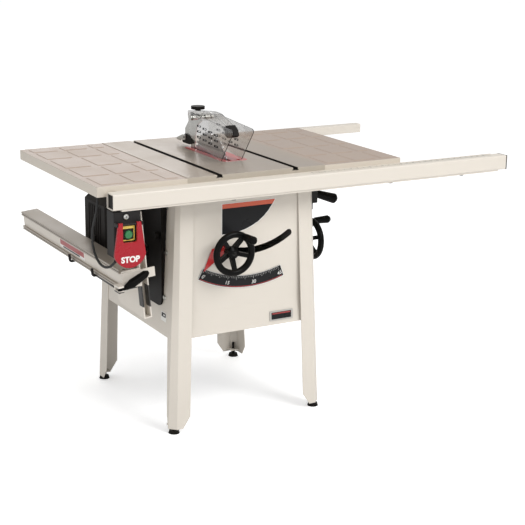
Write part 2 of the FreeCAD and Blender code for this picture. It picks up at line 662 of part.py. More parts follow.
def motor_cover():
    def shell(inset):
        flange = box(COVER_FLANGE_X + inset, 0, COVER_FRONT + inset, COVER_BACK - inset,
                     COVER_LOW + inset, COVER_HIGH - inset)
        corners = [e for e in flange.Edges if e.BoundBox.XLength > 100]
        flange = flange.makeFillet(28 - inset, corners)
        bulge = prism("y", [(0, BULGE_HIGH + 18 - inset), (COVER_FLANGE_X, BULGE_HIGH + 14 - inset),
                            (BULGE_X + 34, BULGE_HIGH - inset), (BULGE_X + inset, BULGE_HIGH - 30),
                            (BULGE_X + inset, BULGE_LOW + 34), (BULGE_X + 30, BULGE_LOW + inset),
                            (0, BULGE_LOW + inset)],
                      BULGE_FRONT + inset, BULGE_BACK - inset)
        edges = [e for e in bulge.Edges
                 if e.BoundBox.YLength < 1 and e.BoundBox.XMin < COVER_FLANGE_X - 9
                 and e.BoundBox.XMax < COVER_FLANGE_X + 9]
        bulge = bulge.makeFillet(9 - inset / 2, edges)
        return flange.fuse(bulge)

    cover = shell(0).cut(shell(COVER_WALL))
    z0, z1 = COVER_LOW - 9, COVER_HIGH + 9
    inside = prism("y", [(side_x(-1, z0) - PANEL_GAP, z0), (side_x(-1, z1) - PANEL_GAP, z1),
                         (9, z1), (9, z0)],
                   COVER_FRONT - 9, COVER_BACK + 9)
    cover = cover.cut(inside)
    ribs = []
    count = int((BULGE_BACK - BULGE_FRONT - 62) / COVER_RIB_PITCH)
    for i in range(count):
        y = BULGE_FRONT + 44 + i * COVER_RIB_PITCH
        ribs.append(box(BULGE_X - COVER_RIB_PROUD, BULGE_X + 1, y, y + COVER_RIB_PITCH / 2,
                        BULGE_LOW + 50, BULGE_HIGH - 42))
    knob_y, knob_z = COVER_FRONT + 22, 654.0
    knob = join([rod("x", (knob_y, knob_z), 12, COVER_FLANGE_X - 15, COVER_FLANGE_X - 3),
                 rod("x", (knob_y, knob_z), 6, COVER_FLANGE_X - 3, COVER_FLANGE_X)])
    keep("motor_cover", Part.makeCompound(walls_apart(join([cover] + ribs)) + [knob]))


# ------------------------------------------------------------------ fixed trunnions and worm bearings
def trunnions():
    pieces = []
    for face, way in ((PLATE_FRONT, -1), (PLATE_REAR, 1)):
        near = face + way * 7
        far = near + way * BRACKET_THICK
        y0, y1 = sorted((near, far))
        block = rod("y", (0, TABLE_TOP), BRACKET_RADIUS, y0, y1)
        block = block.cut(box(-200, 200, y0 - 1, y1 + 1, TABLE_UNDER, TABLE_TOP + 200))
        foot = box(-BRACKET_RADIUS - 22, BRACKET_RADIUS + 22, y0, y1, TABLE_UNDER - 9, TABLE_UNDER)
        block = block.fuse(foot)
        g0, g1 = sorted((near - way, near + way * (TONGUE_LONG - 7 + 1)))
        groove = tube("y", (0, TABLE_TOP), TONGUE_OUTER + RUNNING, TONGUE_INNER - RUNNING, g0, g1)
        pieces.append(block.cut(groove))
    keep("trunnion_brackets", Part.makeCompound(pieces))


def worm_bracket():
    """Two arms from the front panel that carry the tilting shaft each side of its worm."""
    back = PANEL_Y + PANEL_SHEET
    reach = WORM_LENGTH / 2 + 14
    arms = [box(-reach - 12, reach + 12, back, back + 5, WORM_Z - 22, WORM_Z + 18)]
    for x in (-reach, reach):
        arms.append(box(x - 7, x + 7, back, WORM_Y, WORM_Z - 13, WORM_Z + 13))
        arms.append(rod("x", (WORM_Y, WORM_Z), 13, x - 7, x + 7))
    bracket = join(arms)
    hole = rod("x", (WORM_Y, WORM_Z), SHAFT + RUNNING, -200, 200)
    wall = side_x(1, WORM_Z + SHAFT + 14)
    bush = join([rod("x", (WORM_Y, WORM_Z), SHAFT + 5.9, wall - 12, wall + 6),
                 rod("x", (WORM_Y, WORM_Z), SHAFT + 13, side_x(1, WORM_Z - SHAFT - 13) + 0.1,
                     side_x(1, WORM_Z - SHAFT - 13) + 6)])
    bush = bush.cut(rod("x", (WORM_Y, WORM_Z), SHAFT + RUNNING, 0, 400))
    keep("worm_bearings", Part.makeCompound([bracket.cut(hole), bush]))


# ------------------------------------------------------------------ tilting carriage
def cradles():
    front_y1 = PLATE_FRONT + PLATE_THICK
    tongue = sector(TONGUE_INNER, TONGUE_OUTER, -56, 11, PLATE_FRONT - TONGUE_LONG, PLATE_FRONT)
    plate = sector(40, SEGMENT_OUTER - SEGMENT_RIM, -50, 6, PLATE_FRONT, front_y1)
    window = sector(95, 235, -43, -27, PLATE_FRONT - 1, front_y1 + 1)
    window2 = sector(95, 235, -13, 0, PLATE_FRONT - 1, front_y1 + 1)
    rim = sector(SEGMENT_OUTER - SEGMENT_RIM - 2, SEGMENT_OUTER - SEGMENT_TOOTH, -50, 6,
                 PLATE_FRONT, WORM_Y + 12)
    hub = rod("y", (RAISE_X, RAISE_Z), SHAFT + 9, PLATE_FRONT, WORM_Y + 12)
    casting = join([plate.cut(window).cut(window2), rim, tongue, hub])
    teeth = []
    angle = -49.0
    while angle < 4.5:
        teeth.append(sector(SEGMENT_OUTER - SEGMENT_TOOTH - 1, SEGMENT_OUTER, angle,
                            angle + SEGMENT_STEP / 2, WORM_Y - 12, WORM_Y + 12))
        angle += SEGMENT_STEP
    casting = join([casting] + teeth)
    casting = casting.cut(rod("y", (RAISE_X, RAISE_Z), SHAFT + RUNNING, PLATE_FRONT - 9, 0))
    keep("cradle_front", casting)
    y0 = PLATE_REAR - PLATE_THICK
    tongue = sector(TONGUE_INNER, TONGUE_OUTER, -56, 11, PLATE_REAR, PLATE_REAR + TONGUE_LONG)
    plate = sector(40, TABLE_TOP - SADDLE_Z + 8, -30, 12, y0, PLATE_REAR)
    wide = sector(40, 110, -52, 12, y0, PLATE_REAR)
    window = sector(130, 215, -24, -12, y0 - 1, PLATE_REAR + 1)
    keep("cradle_rear", join([plate.cut(window), wide, tongue]))


def saddle():
    y0, y1 = PLATE_FRONT + PLATE_THICK, PLATE_REAR - PLATE_THICK
    top = SADDLE_Z + SADDLE_HIGH
    rail = box(POST_X - 19, POST_X + 19, y0, y1, SADDLE_Z, top)
    arm = box(RAISE_X - 18, POST_X, SCREW_Y - 18, SCREW_Y + 18, top, top + 16)
    brace = box(POST_X - 19, POST_X + 19, SCREW_Y - 18, SCREW_Y + 18, top - 1, top + 16)
    posts = [rod("z", (POST_X, y), POST_RADIUS, top - 4, ARBOR_Z - 12)
             for y in (POST_FRONT, POST_REAR)]
    casting = join([rail, arm, brace])
    casting = casting.cut(rod("z", (RAISE_X, SCREW_Y), SCREW_RADIUS + RUNNING, top - 9, top + 30))
    for y in (POST_FRONT, POST_REAR):
        casting = casting.cut(rod("z", (POST_X, y), POST_RADIUS, top - 4, top + 40))
    keep("saddle", casting)
    tie_x, tie_z = 58.0, 700.0
    reach = math.hypot(tie_x, TABLE_TOP - tie_z)
    angle = math.degrees(math.atan2(tie_x, TABLE_TOP - tie_z))
    ear = 14.0
    bar = rod("y", (tie_x, tie_z), 9, y0, y1)
    ears = [rod("y", (tie_x, tie_z), ear, y0, y0 + 8), rod("y", (tie_x, tie_z), ear, y1 - 8, y1)]
    arms = []
    for a, b in ((y0, y0 + 8), (y1 - 8, y1)):
        arms.append(sector(reach - ear, reach + ear, 2, angle, a, b))
    keep("guide_bars", Part.makeCompound(posts + [join([bar] + ears + arms)]))


def pointer():
    """Red pointer clamped on the sleeve of the raising shaft; it leaves through the arc slot."""
    plate_y = PANEL_Y - SCALE_PLATE - 2.4
    sleeve = tube("y", (RAISE_X, RAISE_Z), SLEEVE_RADIUS, SHAFT + RUNNING, plate_y - 6, PLATE_FRONT)
    tip = around_tilt(SCALE_INNER + 9, -27.4, 0)
    blade = prism("y", [(RAISE_X - 9, RAISE_Z + 16), (RAISE_X + 12, RAISE_Z - 12),
                        (RAISE_X - 22, RAISE_Z - 30), (tip.x + 1.5, tip.z), (tip.x - 1.5, tip.z),
                        (RAISE_X - 46, RAISE_Z + 4)], plate_y, plate_y + 1.6)
    blade = blade.cut(rod("y", (RAISE_X, RAISE_Z), SHAFT + RUNNING, plate_y - 9, plate_y + 9))
    keep("tilt_pointer", join([sleeve, blade]))


def tilt_scale():
    plate = sector(SCALE_INNER, SCALE_OUTER, SCALE_FROM, SCALE_TO, PANEL_Y - SCALE_PLATE, PANEL_Y)
    upright = [e for e in plate.Edges if e.BoundBox.YLength > SCALE_PLATE * 0.9
               and e.BoundBox.XLength < 1 and e.BoundBox.ZLength < 1]
    keep("tilt_scale", plate.makeFillet(7, upright))


# ------------------------------------------------------------------ handwheels
def handwheel(turn):
    """Dished five-spoke wheel about +Z with the shaft's end at z = 0 and the rim in front."""
    rim_z = 30.0
    rim = Part.makeTorus(WHEEL_RIM, WHEEL_TUBE, V(0, 0, rim_z))
    hub = rod("z", (0, 0), WHEEL_HUB, -4, rim_z - WHEEL_DISH + 12)
    cap = Part.makeCone(WHEEL_HUB, 11, 5, V(0, 0, rim_z - WHEEL_DISH + 12))
    pieces = [rim, hub, cap]
    for i in range(WHEEL_SPOKES):
        half = 7.0
        outline = [(WHEEL_HUB - 4, 2), (WHEEL_RIM - 2, rim_z - 6), (WHEEL_RIM - 2, rim_z + 5),
                   (WHEEL_HUB - 4, rim_z - WHEEL_DISH + 6)]
        spoke = prism("y", outline, -half, half)
        spoke.rotate(V(0, 0, 0), V(0, 0, 1), turn + 360.0 / WHEEL_SPOKES * i)
        pieces.append(spoke)
    boss = rod("z", (WHEEL_RIM, 0), 9, rim_z, rim_z + WHEEL_TUBE + 2)
    boss.rotate(V(0, 0, 0), V(0, 0, 1), turn)
    stud = rod("z", (WHEEL_RIM, 0), 4, rim_z, rim_z + WHEEL_TUBE + GRIP_LENGTH - 13)
    stud.rotate(V(0, 0, 0), V(0, 0, 1), turn)
    wheel = join(pieces + [boss, stud])
    return wheel.cut(rod("z", (0, 0), SHAFT, -20, 10))


def grip(turn):
    rim_z = 30.0
    start = rim_z + WHEEL_TUBE + 2 + FIT
    end = start + GRIP_LENGTH
    radius = GRIP_RADIUS
    body = Part.makeCone(radius - 2.5, radius, end - start - 8, V(WHEEL_RIM, 0, start))
    nose = Part.makeCone(radius, radius - 5, 8, V(WHEEL_RIM, 0, end - 8))
    hole = rod("z", (WHEEL_RIM, 0), 4 + RUNNING, start - 1, end - 8 - 6)
    shape = join([body, nose]).cut(hole)
    shape.rotate(V(0, 0, 0), V(0, 0, 1), turn)
    return shape


def place(shape, way, at):
    """Turn a part made about +Z so that its axis points along -Y or +X, then move it."""
    moved = shape.copy()
    if way == "-y":
        moved.rotate(V(0, 0, 0), V(1, 0, 0), 90)
    else:
        moved.rotate(V(0, 0, 0), V(0, 1, 0), 90)
    moved.translate(at)
    return moved


def raising_gear():
    wheel_at = V(RAISE_X, PANEL_Y - RAISE_WHEEL_OUT, RAISE_Z)
    turn = 58.0
    keep("raise_handwheel", place(handwheel(turn), "-y", wheel_at))
    keep("raise_grip", place(grip(turn), "-y", wheel_at))
    apex = SCREW_Y
    gap = 0.25
    shaft = rod("y", (RAISE_X, RAISE_Z), SHAFT, wheel_at.y - 10, apex - BEVEL_RADIUS + 3)
    bevel = Part.makeCone(BEVEL_RADIUS - gap, 9 - gap, BEVEL_RADIUS - 9,
                          V(RAISE_X, apex - BEVEL_RADIUS, RAISE_Z), V(0, 1, 0))
    hub = rod("y", (RAISE_X, RAISE_Z), BEVEL_RADIUS - 4, WORM_Y + 12.3, apex - BEVEL_RADIUS)
    keep("raise_shaft", join([shaft, bevel, hub]))
    screw = rod("z", (RAISE_X, SCREW_Y), SCREW_RADIUS, RAISE_Z + BEVEL_RADIUS - 3, ARBOR_Z - 8)
    bevel = Part.makeCone(9 - gap, BEVEL_RADIUS - gap, BEVEL_RADIUS - 9,
                          V(RAISE_X, SCREW_Y, RAISE_Z + 9), V(0, 0, 1))
    collar = rod("z", (RAISE_X, SCREW_Y), 13, RAISE_Z + BEVEL_RADIUS, SADDLE_Z + SADDLE_HIGH - 0.3)
    keep("lead_screw", join([screw, bevel, collar]))


def tilting_gear():
    wheel_x = side_x(1, WORM_Z) + TILT_WHEEL_OUT
    turn = 180.0
    wheel_at = V(wheel_x, WORM_Y, WORM_Z)
    keep("tilt_handwheel", place(handwheel(turn), "+x", wheel_at))
    keep("tilt_grip", place(grip(turn), "+x", wheel_at))
    start = -(WORM_LENGTH / 2 + 26)
    shaft = rod("x", (WORM_Y, WORM_Z), SHAFT, start, wheel_x + 10)
    worm = rod("x", (WORM_Y, WORM_Z), WORM_RADIUS, -WORM_LENGTH / 2, WORM_LENGTH / 2)
    keep("tilt_shaft", join([shaft, worm]))


# ------------------------------------------------------------------ arbor carriage
def arbor_carriage():
    sleeve_top = ARBOR_Z - 30
    sleeve_low = sleeve_top - SLEEVE_LONG
    outer = POST_RADIUS + SLEEVE_WALL
    pieces = [rod("z", (POST_X, y), outer, sleeve_low, sleeve_top) for y in (POST_FRONT, POST_REAR)]
    pieces.append(box(POST_X - 8, POST_X + 8, POST_FRONT, POST_REAR + 86,
                      sleeve_low + 14, sleeve_top - 4))
    pieces.append(rod("x", (BLADE_Y, ARBOR_Z), ARBOR_HOUSING, POST_X - 17, -15))
    pieces.append(prism("x", [(BLADE_Y - 26, ARBOR_Z), (BLADE_Y + 26, ARBOR_Z),
                              (BLADE_Y + 60, sleeve_low + 20), (BLADE_Y - 60, sleeve_low + 20)],
                        POST_X - 8, POST_X + 8))
    nut_low = sleeve_low + 15
    pieces.append(box(RAISE_X - 16, POST_X, SCREW_Y - 16, SCREW_Y + 16, nut_low, nut_low + 26))
    plate_y = MOTOR_Y + MOTOR_RADIUS + 4
    pieces.append(box(MOTOR_FACE - MOTOR_LONG + 70, POST_X - 23, plate_y, plate_y + 10,
                      MOTOR_Z - 42, MOTOR_Z + 88))
    pieces.append(box(POST_X - 60, POST_X + 8, plate_y, plate_y + 10,
                      MOTOR_Z + 72, sleeve_top - 4))
    casting = join(pieces)
    for y in (POST_FRONT, POST_REAR):
        casting = casting.cut(rod("z", (POST_X, y), POST_RADIUS + RUNNING, SADDLE_Z, ARBOR_Z + 60))
    casting = casting.cut(rod("z", (RAISE_X, SCREW_Y), SCREW_RADIUS + RUNNING, SADDLE_Z, ARBOR_Z))
    casting = casting.cut(rod("x", (BLADE_Y, ARBOR_Z), 12 + RUNNING, -120, 20))
    keep("arbor_carriage", casting)


def motor():
    left = MOTOR_FACE - MOTOR_LONG
    body = rod("x", (MOTOR_Y, MOTOR_Z), MOTOR_RADIUS - 4, left + 30, MOTOR_FACE - 14)
    bell = Part.makeCone(34, MOTOR_RADIUS, 14, V(MOTOR_FACE, MOTOR_Y, MOTOR_Z), V(-1, 0, 0))
    ring = rod("x", (MOTOR_Y, MOTOR_Z), MOTOR_RADIUS, MOTOR_FACE - 22, MOTOR_FACE - 13)
    shroud = join([rod("x", (MOTOR_Y, MOTOR_Z), MOTOR_RADIUS, left + 10, left + 60),
                   Part.makeCone(MOTOR_RADIUS - 12, MOTOR_RADIUS, 10, V(left, MOTOR_Y, MOTOR_Z),
                                 V(1, 0, 0))])
    fins = []
    for i in range(18):
        fin = box(left + 50, MOTOR_FACE - 18, -1.5, 1.5, MOTOR_RADIUS - 6, MOTOR_RADIUS - 0.5)
        fin.rotate(V(0, 0, 0), V(1, 0, 0), 20 * i)
        fin.translate(V(0, MOTOR_Y, MOTOR_Z))
        fins.append(fin)
    foot = box(left + 74, MOTOR_FACE - 30, MOTOR_Y + MOTOR_RADIUS - 22, MOTOR_Y + MOTOR_RADIUS + 4,
               MOTOR_Z - 34, MOTOR_Z + 34)
    shape = join([body, bell, ring, shroud, foot] + fins)
    keep("motor", shape.cut(rod("x", (MOTOR_Y, MOTOR_Z), 9 + RUNNING, MOTOR_FACE - 40, 0)))


def pulley(at, radius):
    y, z = at
    low, high = PULLEY_X - PULLEY_WIDE / 2, PULLEY_X + PULLEY_WIDE / 2
    groove = rod("x", (y, z), radius, low, high)
    rims = [rod("x", (y, z), radius + PULLEY_FLANGE, low - 2, low),
            rod("x", (y, z), radius + PULLEY_FLANGE, high, high + 2)]
    return join([groove] + rims)


def arbor():
    body = rod("x", (BLADE_Y, ARBOR_Z), 12, PULLEY_X + 8, -BLADE_THICK / 2 - 8)
    inner_flange = Part.makeCone(FLANGE - 6, FLANGE, 7, V(-BLADE_THICK / 2 - 8, BLADE_Y, ARBOR_Z),
                                 V(1, 0, 0))
    washer = rod("x", (BLADE_Y, ARBOR_Z), FLANGE, -BLADE_THICK / 2 - 1, -BLADE_THICK / 2)
    spindle = rod("x", (BLADE_Y, ARBOR_Z), ARBOR, -BLADE_THICK / 2 - 2, 24)
    wheel = pulley((BLADE_Y, ARBOR_Z), ARBOR_PULLEY)
    keep("arbor", join([body, inner_flange, washer, spindle, wheel]))
    half = BLADE_THICK / 2
    outer_flange = Part.makeCone(FLANGE, FLANGE - 7, 6, V(half, BLADE_Y, ARBOR_Z), V(1, 0, 0))
    nut = prism("x", [(BLADE_Y + 14 * math.cos(math.radians(60 * i)),
                       ARBOR_Z + 14 * math.sin(math.radians(60 * i))) for i in range(6)],
                half + 6, half + 17)
    bore = rod("x", (BLADE_Y, ARBOR_Z), ARBOR, 0, 60)
    keep("arbor_flange_nut", join([outer_flange, nut]).cut(bore))


def blade():
    """Forty-tooth blade: a toothed outline extruded, with expansion slots and an arbor bore."""
    points = []
    step = 360.0 / BLADE_TEETH
    for i in range(BLADE_TEETH):
        base = i * step
        for reach, at in ((BLADE_RADIUS, 0.0), (BLADE_RADIUS - 2.6, 0.40),
                          (BLADE_RADIUS - 10, 0.62), (BLADE_RADIUS - 9, 0.90)):
            turn = math.radians(base + at * step)
            points.append((BLADE_Y + reach * math.cos(turn), ARBOR_Z + reach * math.sin(turn)))
    disc = prism("x", points, -BLADE_THICK / 2, BLADE_THICK / 2)
    cuts = [rod("x", (BLADE_Y, ARBOR_Z), ARBOR, -9, 9)]
    for i in range(4):
        slit = box(-9, 9, -0.6, 0.6, BLADE_RADIUS - 30, BLADE_RADIUS - 9.4)
        slit = slit.fuse(rod("x", (0, BLADE_RADIUS - 30), 3, -9, 9))
        slit.rotate(V(0, 0, 0), V(1, 0, 0), 90 * i + 6.9)
        slit.translate(V(0, BLADE_Y, ARBOR_Z))
        cuts.append(slit)
    keep("saw_blade", disc.cut(cuts[0].multiFuse(cuts[1:])))


def drive():
    shaft = rod("x", (MOTOR_Y, MOTOR_Z), 9, MOTOR_FACE - 38, PULLEY_X + PULLEY_WIDE / 2)
    keep("motor_pulley", join([shaft, pulley((MOTOR_Y, MOTOR_Z), MOTOR_PULLEY)]))
    a = V(PULLEY_X - 6.5, BLADE_Y, ARBOR_Z)
    b = V(PULLEY_X - 6.5, MOTOR_Y, MOTOR_Z)

    def loop(extra):
        ra, rb = ARBOR_PULLEY + extra, MOTOR_PULLEY + extra
        way = b - a
        length = way.Length
        along = V(0, way.y / length, way.z / length)
        across = V(0, -along.z, along.y)
        lean = math.acos((ra - rb) / length)
        hull = []
        for sign in (1, -1):
            side = along * math.cos(lean) + across * (sign * math.sin(lean))
            hull.append((a + side * ra, b + side * rb))
        edges = [Part.LineSegment(hull[0][0], hull[0][1]).toShape(),
                 Part.Arc(hull[0][1], b + along * rb, hull[1][1]).toShape(),
                 Part.LineSegment(hull[1][1], hull[1][0]).toShape(),
                 Part.Arc(hull[1][0], a - along * ra, hull[0][0]).toShape()]
        return Part.Face(Part.Wire(edges)).extrude(V(13, 0, 0))

    keep("drive_belt", loop(FIT + BELT_THICK).cut(loop(FIT)))


# ------------------------------------------------------------------ guard
def guard():
    half = SPREADER_THICK / 2
    rear_face = PLATE_REAR - PLATE_THICK
    blade_back = BLADE_Y + math.sqrt(BLADE_RADIUS ** 2 - (TABLE_TOP - ARBOR_Z) ** 2)
    neck_front = blade_back + GUARD_GAP
    neck_back = INSERT_REAR - INSERT_LEDGE - 4
    low_front = BLADE_Y + BLADE_RADIUS + GUARD_GAP
    top = LEAF_PIVOT_Z
    lift = BLOCK_HALF + 1.8
    outline = [(low_front, TABLE_TOP - 62), (rear_face, TABLE_TOP - 62), (rear_face, TABLE_TOP - 30),
               (neck_back, TABLE_TOP - 26), (neck_back, TABLE_TOP + 8), (186, TABLE_TOP + 8),
               (186, TABLE_TOP + 60), (126, top + 8), (52, top + 8), (52, top - 12),
               (88, TABLE_TOP + 84), (neck_front - 8, TABLE_TOP + 40), (neck_front + 1, TABLE_TOP),
               (low_front, ARBOR_Z + 8)]
    foot = box(-12, 12, rear_face - 8, rear_face, TABLE_TOP - 68, TABLE_TOP - 34)
    plate = prism("x", outline, -half, half)
    block = prism("x", [(neck_back + 4, TABLE_TOP + lift), (192, TABLE_TOP + lift),
                        (203, TABLE_TOP + lift + 12), (178, TABLE_TOP + lift + 33),
                        (142, TABLE_TOP + lift + 29), (112, TABLE_TOP + lift + 9)],
                  -BLOCK_HALF, BLOCK_HALF)
    block = block.cut(box(-half, half, 100, 220, TABLE_TOP, TABLE_TOP + 90))
    pawl_y, pawl_z = PAWL_Y, TABLE_TOP + PAWL_RISE
    out = BLOCK_HALF + 0.4
    pawl_pin = rod("x", (pawl_y, pawl_z), 3, -out - PAWL_THICK - 1.5, out + PAWL_THICK + 1.5)
    keep("spreader", join([plate, foot]).cut(rod("x", (pawl_y, pawl_z), 3, -9, 9)))
    pawls = []
    for side in (-1, 1):
        teeth = [(pawl_y - 9, pawl_z - 8), (pawl_y - 9, pawl_z + 9), (pawl_y + 14, pawl_z + 8)]
        teeth += [(pawl_y + 62, pawl_z - 10), (pawl_y + 58, pawl_z - 17), (pawl_y + 50, pawl_z - 13),
                  (pawl_y + 46, pawl_z - 18), (pawl_y + 38, pawl_z - 12), (pawl_y + 34, pawl_z - 18),
                  (pawl_y + 24, pawl_z - 11), (pawl_y + 12, pawl_z - 13)]
        x0, x1 = sorted((side * out, side * (out + PAWL_THICK)))
        piece = prism("x", teeth, x0, x1)
        pawls.append(piece.cut(rod("x", (pawl_y, pawl_z), 3 + RUNNING, x0 - 1, x1 + 1)))
    keep("kickback_pawls", Part.makeCompound(pawls))
    return join([block, pawl_pin])


def guard_spine(block):
    """Clear channel over the blade, from the spreader to a black nose block."""
    top = LEAF_PIVOT_Z + 16
    profile = [(136, top - 2), (96, top + 3), (-20, top + 14), (-62, top + 12), (-150, top - 16),
               (-150, top - 36), (-66, top - 10), (40, top - 24), (136, top - 26)]
    outer = prism("x", profile, -SPINE_HALF, SPINE_HALF)
    lower = [(y, z - SPINE_WALL) for y, z in profile[:5]]
    inner = prism("x", [(145, top - 2 - SPINE_WALL)] + lower[1:-1] +
                  [(-155, top - 18 - SPINE_WALL), (-155, top - 60), (145, top - 60)],
                  SPINE_WALL - SPINE_HALF, SPINE_HALF - SPINE_WALL)
    channel = outer.cut(inner)
    cheeks = []
    for side in (-1, 1):
        x0, x1 = sorted((side * SPREADER_THICK / 2, side * (SPINE_HALF - SPINE_WALL)))
        cheeks.append(box(x0, x1, 70, 112, top - 22, top - 4))
    pin = rod("x", (LEAF_PIVOT_Y, LEAF_PIVOT_Z), GUARD_PIN, -LEAF_INSIDE - LEAF_THICK - 4,
              LEAF_INSIDE + LEAF_THICK + 4)
    heads = [rod("x", (LEAF_PIVOT_Y, LEAF_PIVOT_Z), 9, LEAF_INSIDE + LEAF_THICK + 0.4,
                 LEAF_INSIDE + LEAF_THICK + 4),
             rod("x", (LEAF_PIVOT_Y, LEAF_PIVOT_Z), 9, -LEAF_INSIDE - LEAF_THICK - 4,
                 -LEAF_INSIDE - LEAF_THICK - 0.4)]
    spacers = [rod("x", (LEAF_PIVOT_Y, LEAF_PIVOT_Z), 8, SPINE_HALF - 1, LEAF_INSIDE - 0.4),
               rod("x", (LEAF_PIVOT_Y, LEAF_PIVOT_Z), 8, 0.4 - LEAF_INSIDE, 1 - SPINE_HALF)]
    keep("guard_spine", join([channel] + cheeks))
    nose = prism("x", [(-150, top - 13), (-172, top - 26), (-180, top - 44), (-168, top - 52),
                       (-150, top - 46)], -SPINE_HALF - 3, SPINE_HALF + 3)
    tongue = box(SPINE_WALL - SPINE_HALF, SPINE_HALF - SPINE_WALL, -151, -132, top - 34, top - 21)
    spreader_hole = rod("x", (LEAF_PIVOT_Y, LEAF_PIVOT_Z), GUARD_PIN, -60, 60)
    for name in ("guard_spine", "spreader"):
        NODES[name] = NODES[name].cut(spreader_hole).Solids[0]
    keep("guard_pivot", join([pin] + heads + [s.cut(NODES["guard_spine"]) for s in spacers]))
    knob_y = 88.0
    knob = join([rod("z", (0, knob_y), 24, top + 9, top + 19),
                 rod("z", (0, knob_y), 10, top + 4.2, top + 9)])
    knob = knob.cut(NODES["guard_spine"])
    keep("guard_blocks", Part.makeCompound([block, join([nose, tongue]), knob]))


def leaves():
    foot = [(-152, 2.2), (-161, 4.5)]
    crown = [(-238, -13), (-240, -5), (-232, 1), (LEAF_PIVOT_Y + 6, 19), (LEAF_PIVOT_Y + 20, 15),
             (LEAF_PIVOT_Y + 24, 5), (LEAF_PIVOT_Y + 10, -61), (LEAF_PIVOT_Y, -69)]
    points = [(y, TABLE_TOP + z) for y, z in foot] + [(y, LEAF_PIVOT_Z + z) for y, z in crown]
    for name, side in (("guard_leaf_left", -1), ("guard_leaf_right", 1)):
        x0, x1 = sorted((side * LEAF_INSIDE, side * (LEAF_INSIDE + LEAF_THICK)))
        leaf = prism("x", points, x0, x1)
        cuts = [rod("x", (LEAF_PIVOT_Y, LEAF_PIVOT_Z), GUARD_PIN + RUNNING, x0 - 9, x1 + 9)]
        for column in range(4):
            for row in range(3):
                y = -10.0 - 42 * column
                z = TABLE_TOP + 56 - 4 * column + 19 * row
                cuts.append(box(x0 - 1, x1 + 1, y, y + 24, z, z + 6))
        keep(name, leaf.cut(cuts[0].multiFuse(cuts[1:])))


# ------------------------------------------------------------------ switch
def switch():
    left, right = SWITCH_X - SWITCH_WIDE / 2, SWITCH_X + SWITCH_WIDE / 2
    case = box(left, right, SWITCH_FRONT, SWITCH_BACK, SWITCH_BOTTOM, SWITCH_TOP)
    edges = [e for e in case.Edges if e.BoundBox.ZLength > 50 and e.BoundBox.YMax < SWITCH_FRONT + 1]
    case = case.makeFillet(5, edges)
    pin_y = SWITCH_FRONT - PADDLE_GAP - PADDLE_THICK / 2
    ears = []
    for side in (-1, 1):
        low, high = sorted((SWITCH_X + side * (PADDLE_TOP_HALF + 2.6),
                            SWITCH_X + side * SWITCH_WIDE / 2))
        ears.append(box(low, high, pin_y - 4, SWITCH_FRONT + 1, PADDLE_HINGE_Z - 5,
                        PADDLE_HINGE_Z + 5))
    pin = rod("x", (pin_y, PADDLE_HINGE_Z), 2, SWITCH_X - PADDLE_TOP_HALF - 4,
              SWITCH_X + PADDLE_TOP_HALF + 4)
    well = rod("y", (SWITCH_X, BUTTON_Z), BUTTON_RADIUS + RUNNING, SWITCH_FRONT - 20, SWITCH_FRONT + 18)
    collar = tube("y", (SWITCH_X, BUTTON_Z), BUTTON_RADIUS + 5, BUTTON_RADIUS + RUNNING,
                  SWITCH_FRONT - 4, SWITCH_FRONT + 1)
    screw = rod("y", (SWITCH_X - 6, SWITCH_TOP - SWITCH_SCREW_DROP), 7, SWITCH_FRONT - 5,
                SWITCH_FRONT + 1)
    gland_hole = rod("z", (CORD_ROUTE[0][0], CORD_ROUTE[0][1]), 5.5, SWITCH_BOTTOM - 1,
                     SWITCH_BOTTOM + 14)
    shape = join([case.cut(well).cut(gland_hole), collar, screw] + ears + [pin])
    keep("switch_box", shape)
    bracket = join([box(left + 6, right - 6, SWITCH_BACK, SWITCH_BACK + 3.5, SWITCH_BOTTOM + 20,
                        TUBE_BOTTOM - RAIL_ANGLE),
                    box(left + 6, right - 6, SWITCH_FRONT + 4, SWITCH_BACK + 1,
                        SWITCH_TOP, TUBE_BOTTOM - RAIL_ANGLE)])
    keep("switch_bracket", bracket)
    keep("start_button", join([
        rod("y", (SWITCH_X, BUTTON_Z), BUTTON_RADIUS, SWITCH_FRONT - 7, SWITCH_FRONT + 10),
        Part.makeCone(BUTTON_RADIUS - 2, BUTTON_RADIUS, 2,
                      V(SWITCH_X, SWITCH_FRONT - 9, BUTTON_Z), V(0, 1, 0))]))


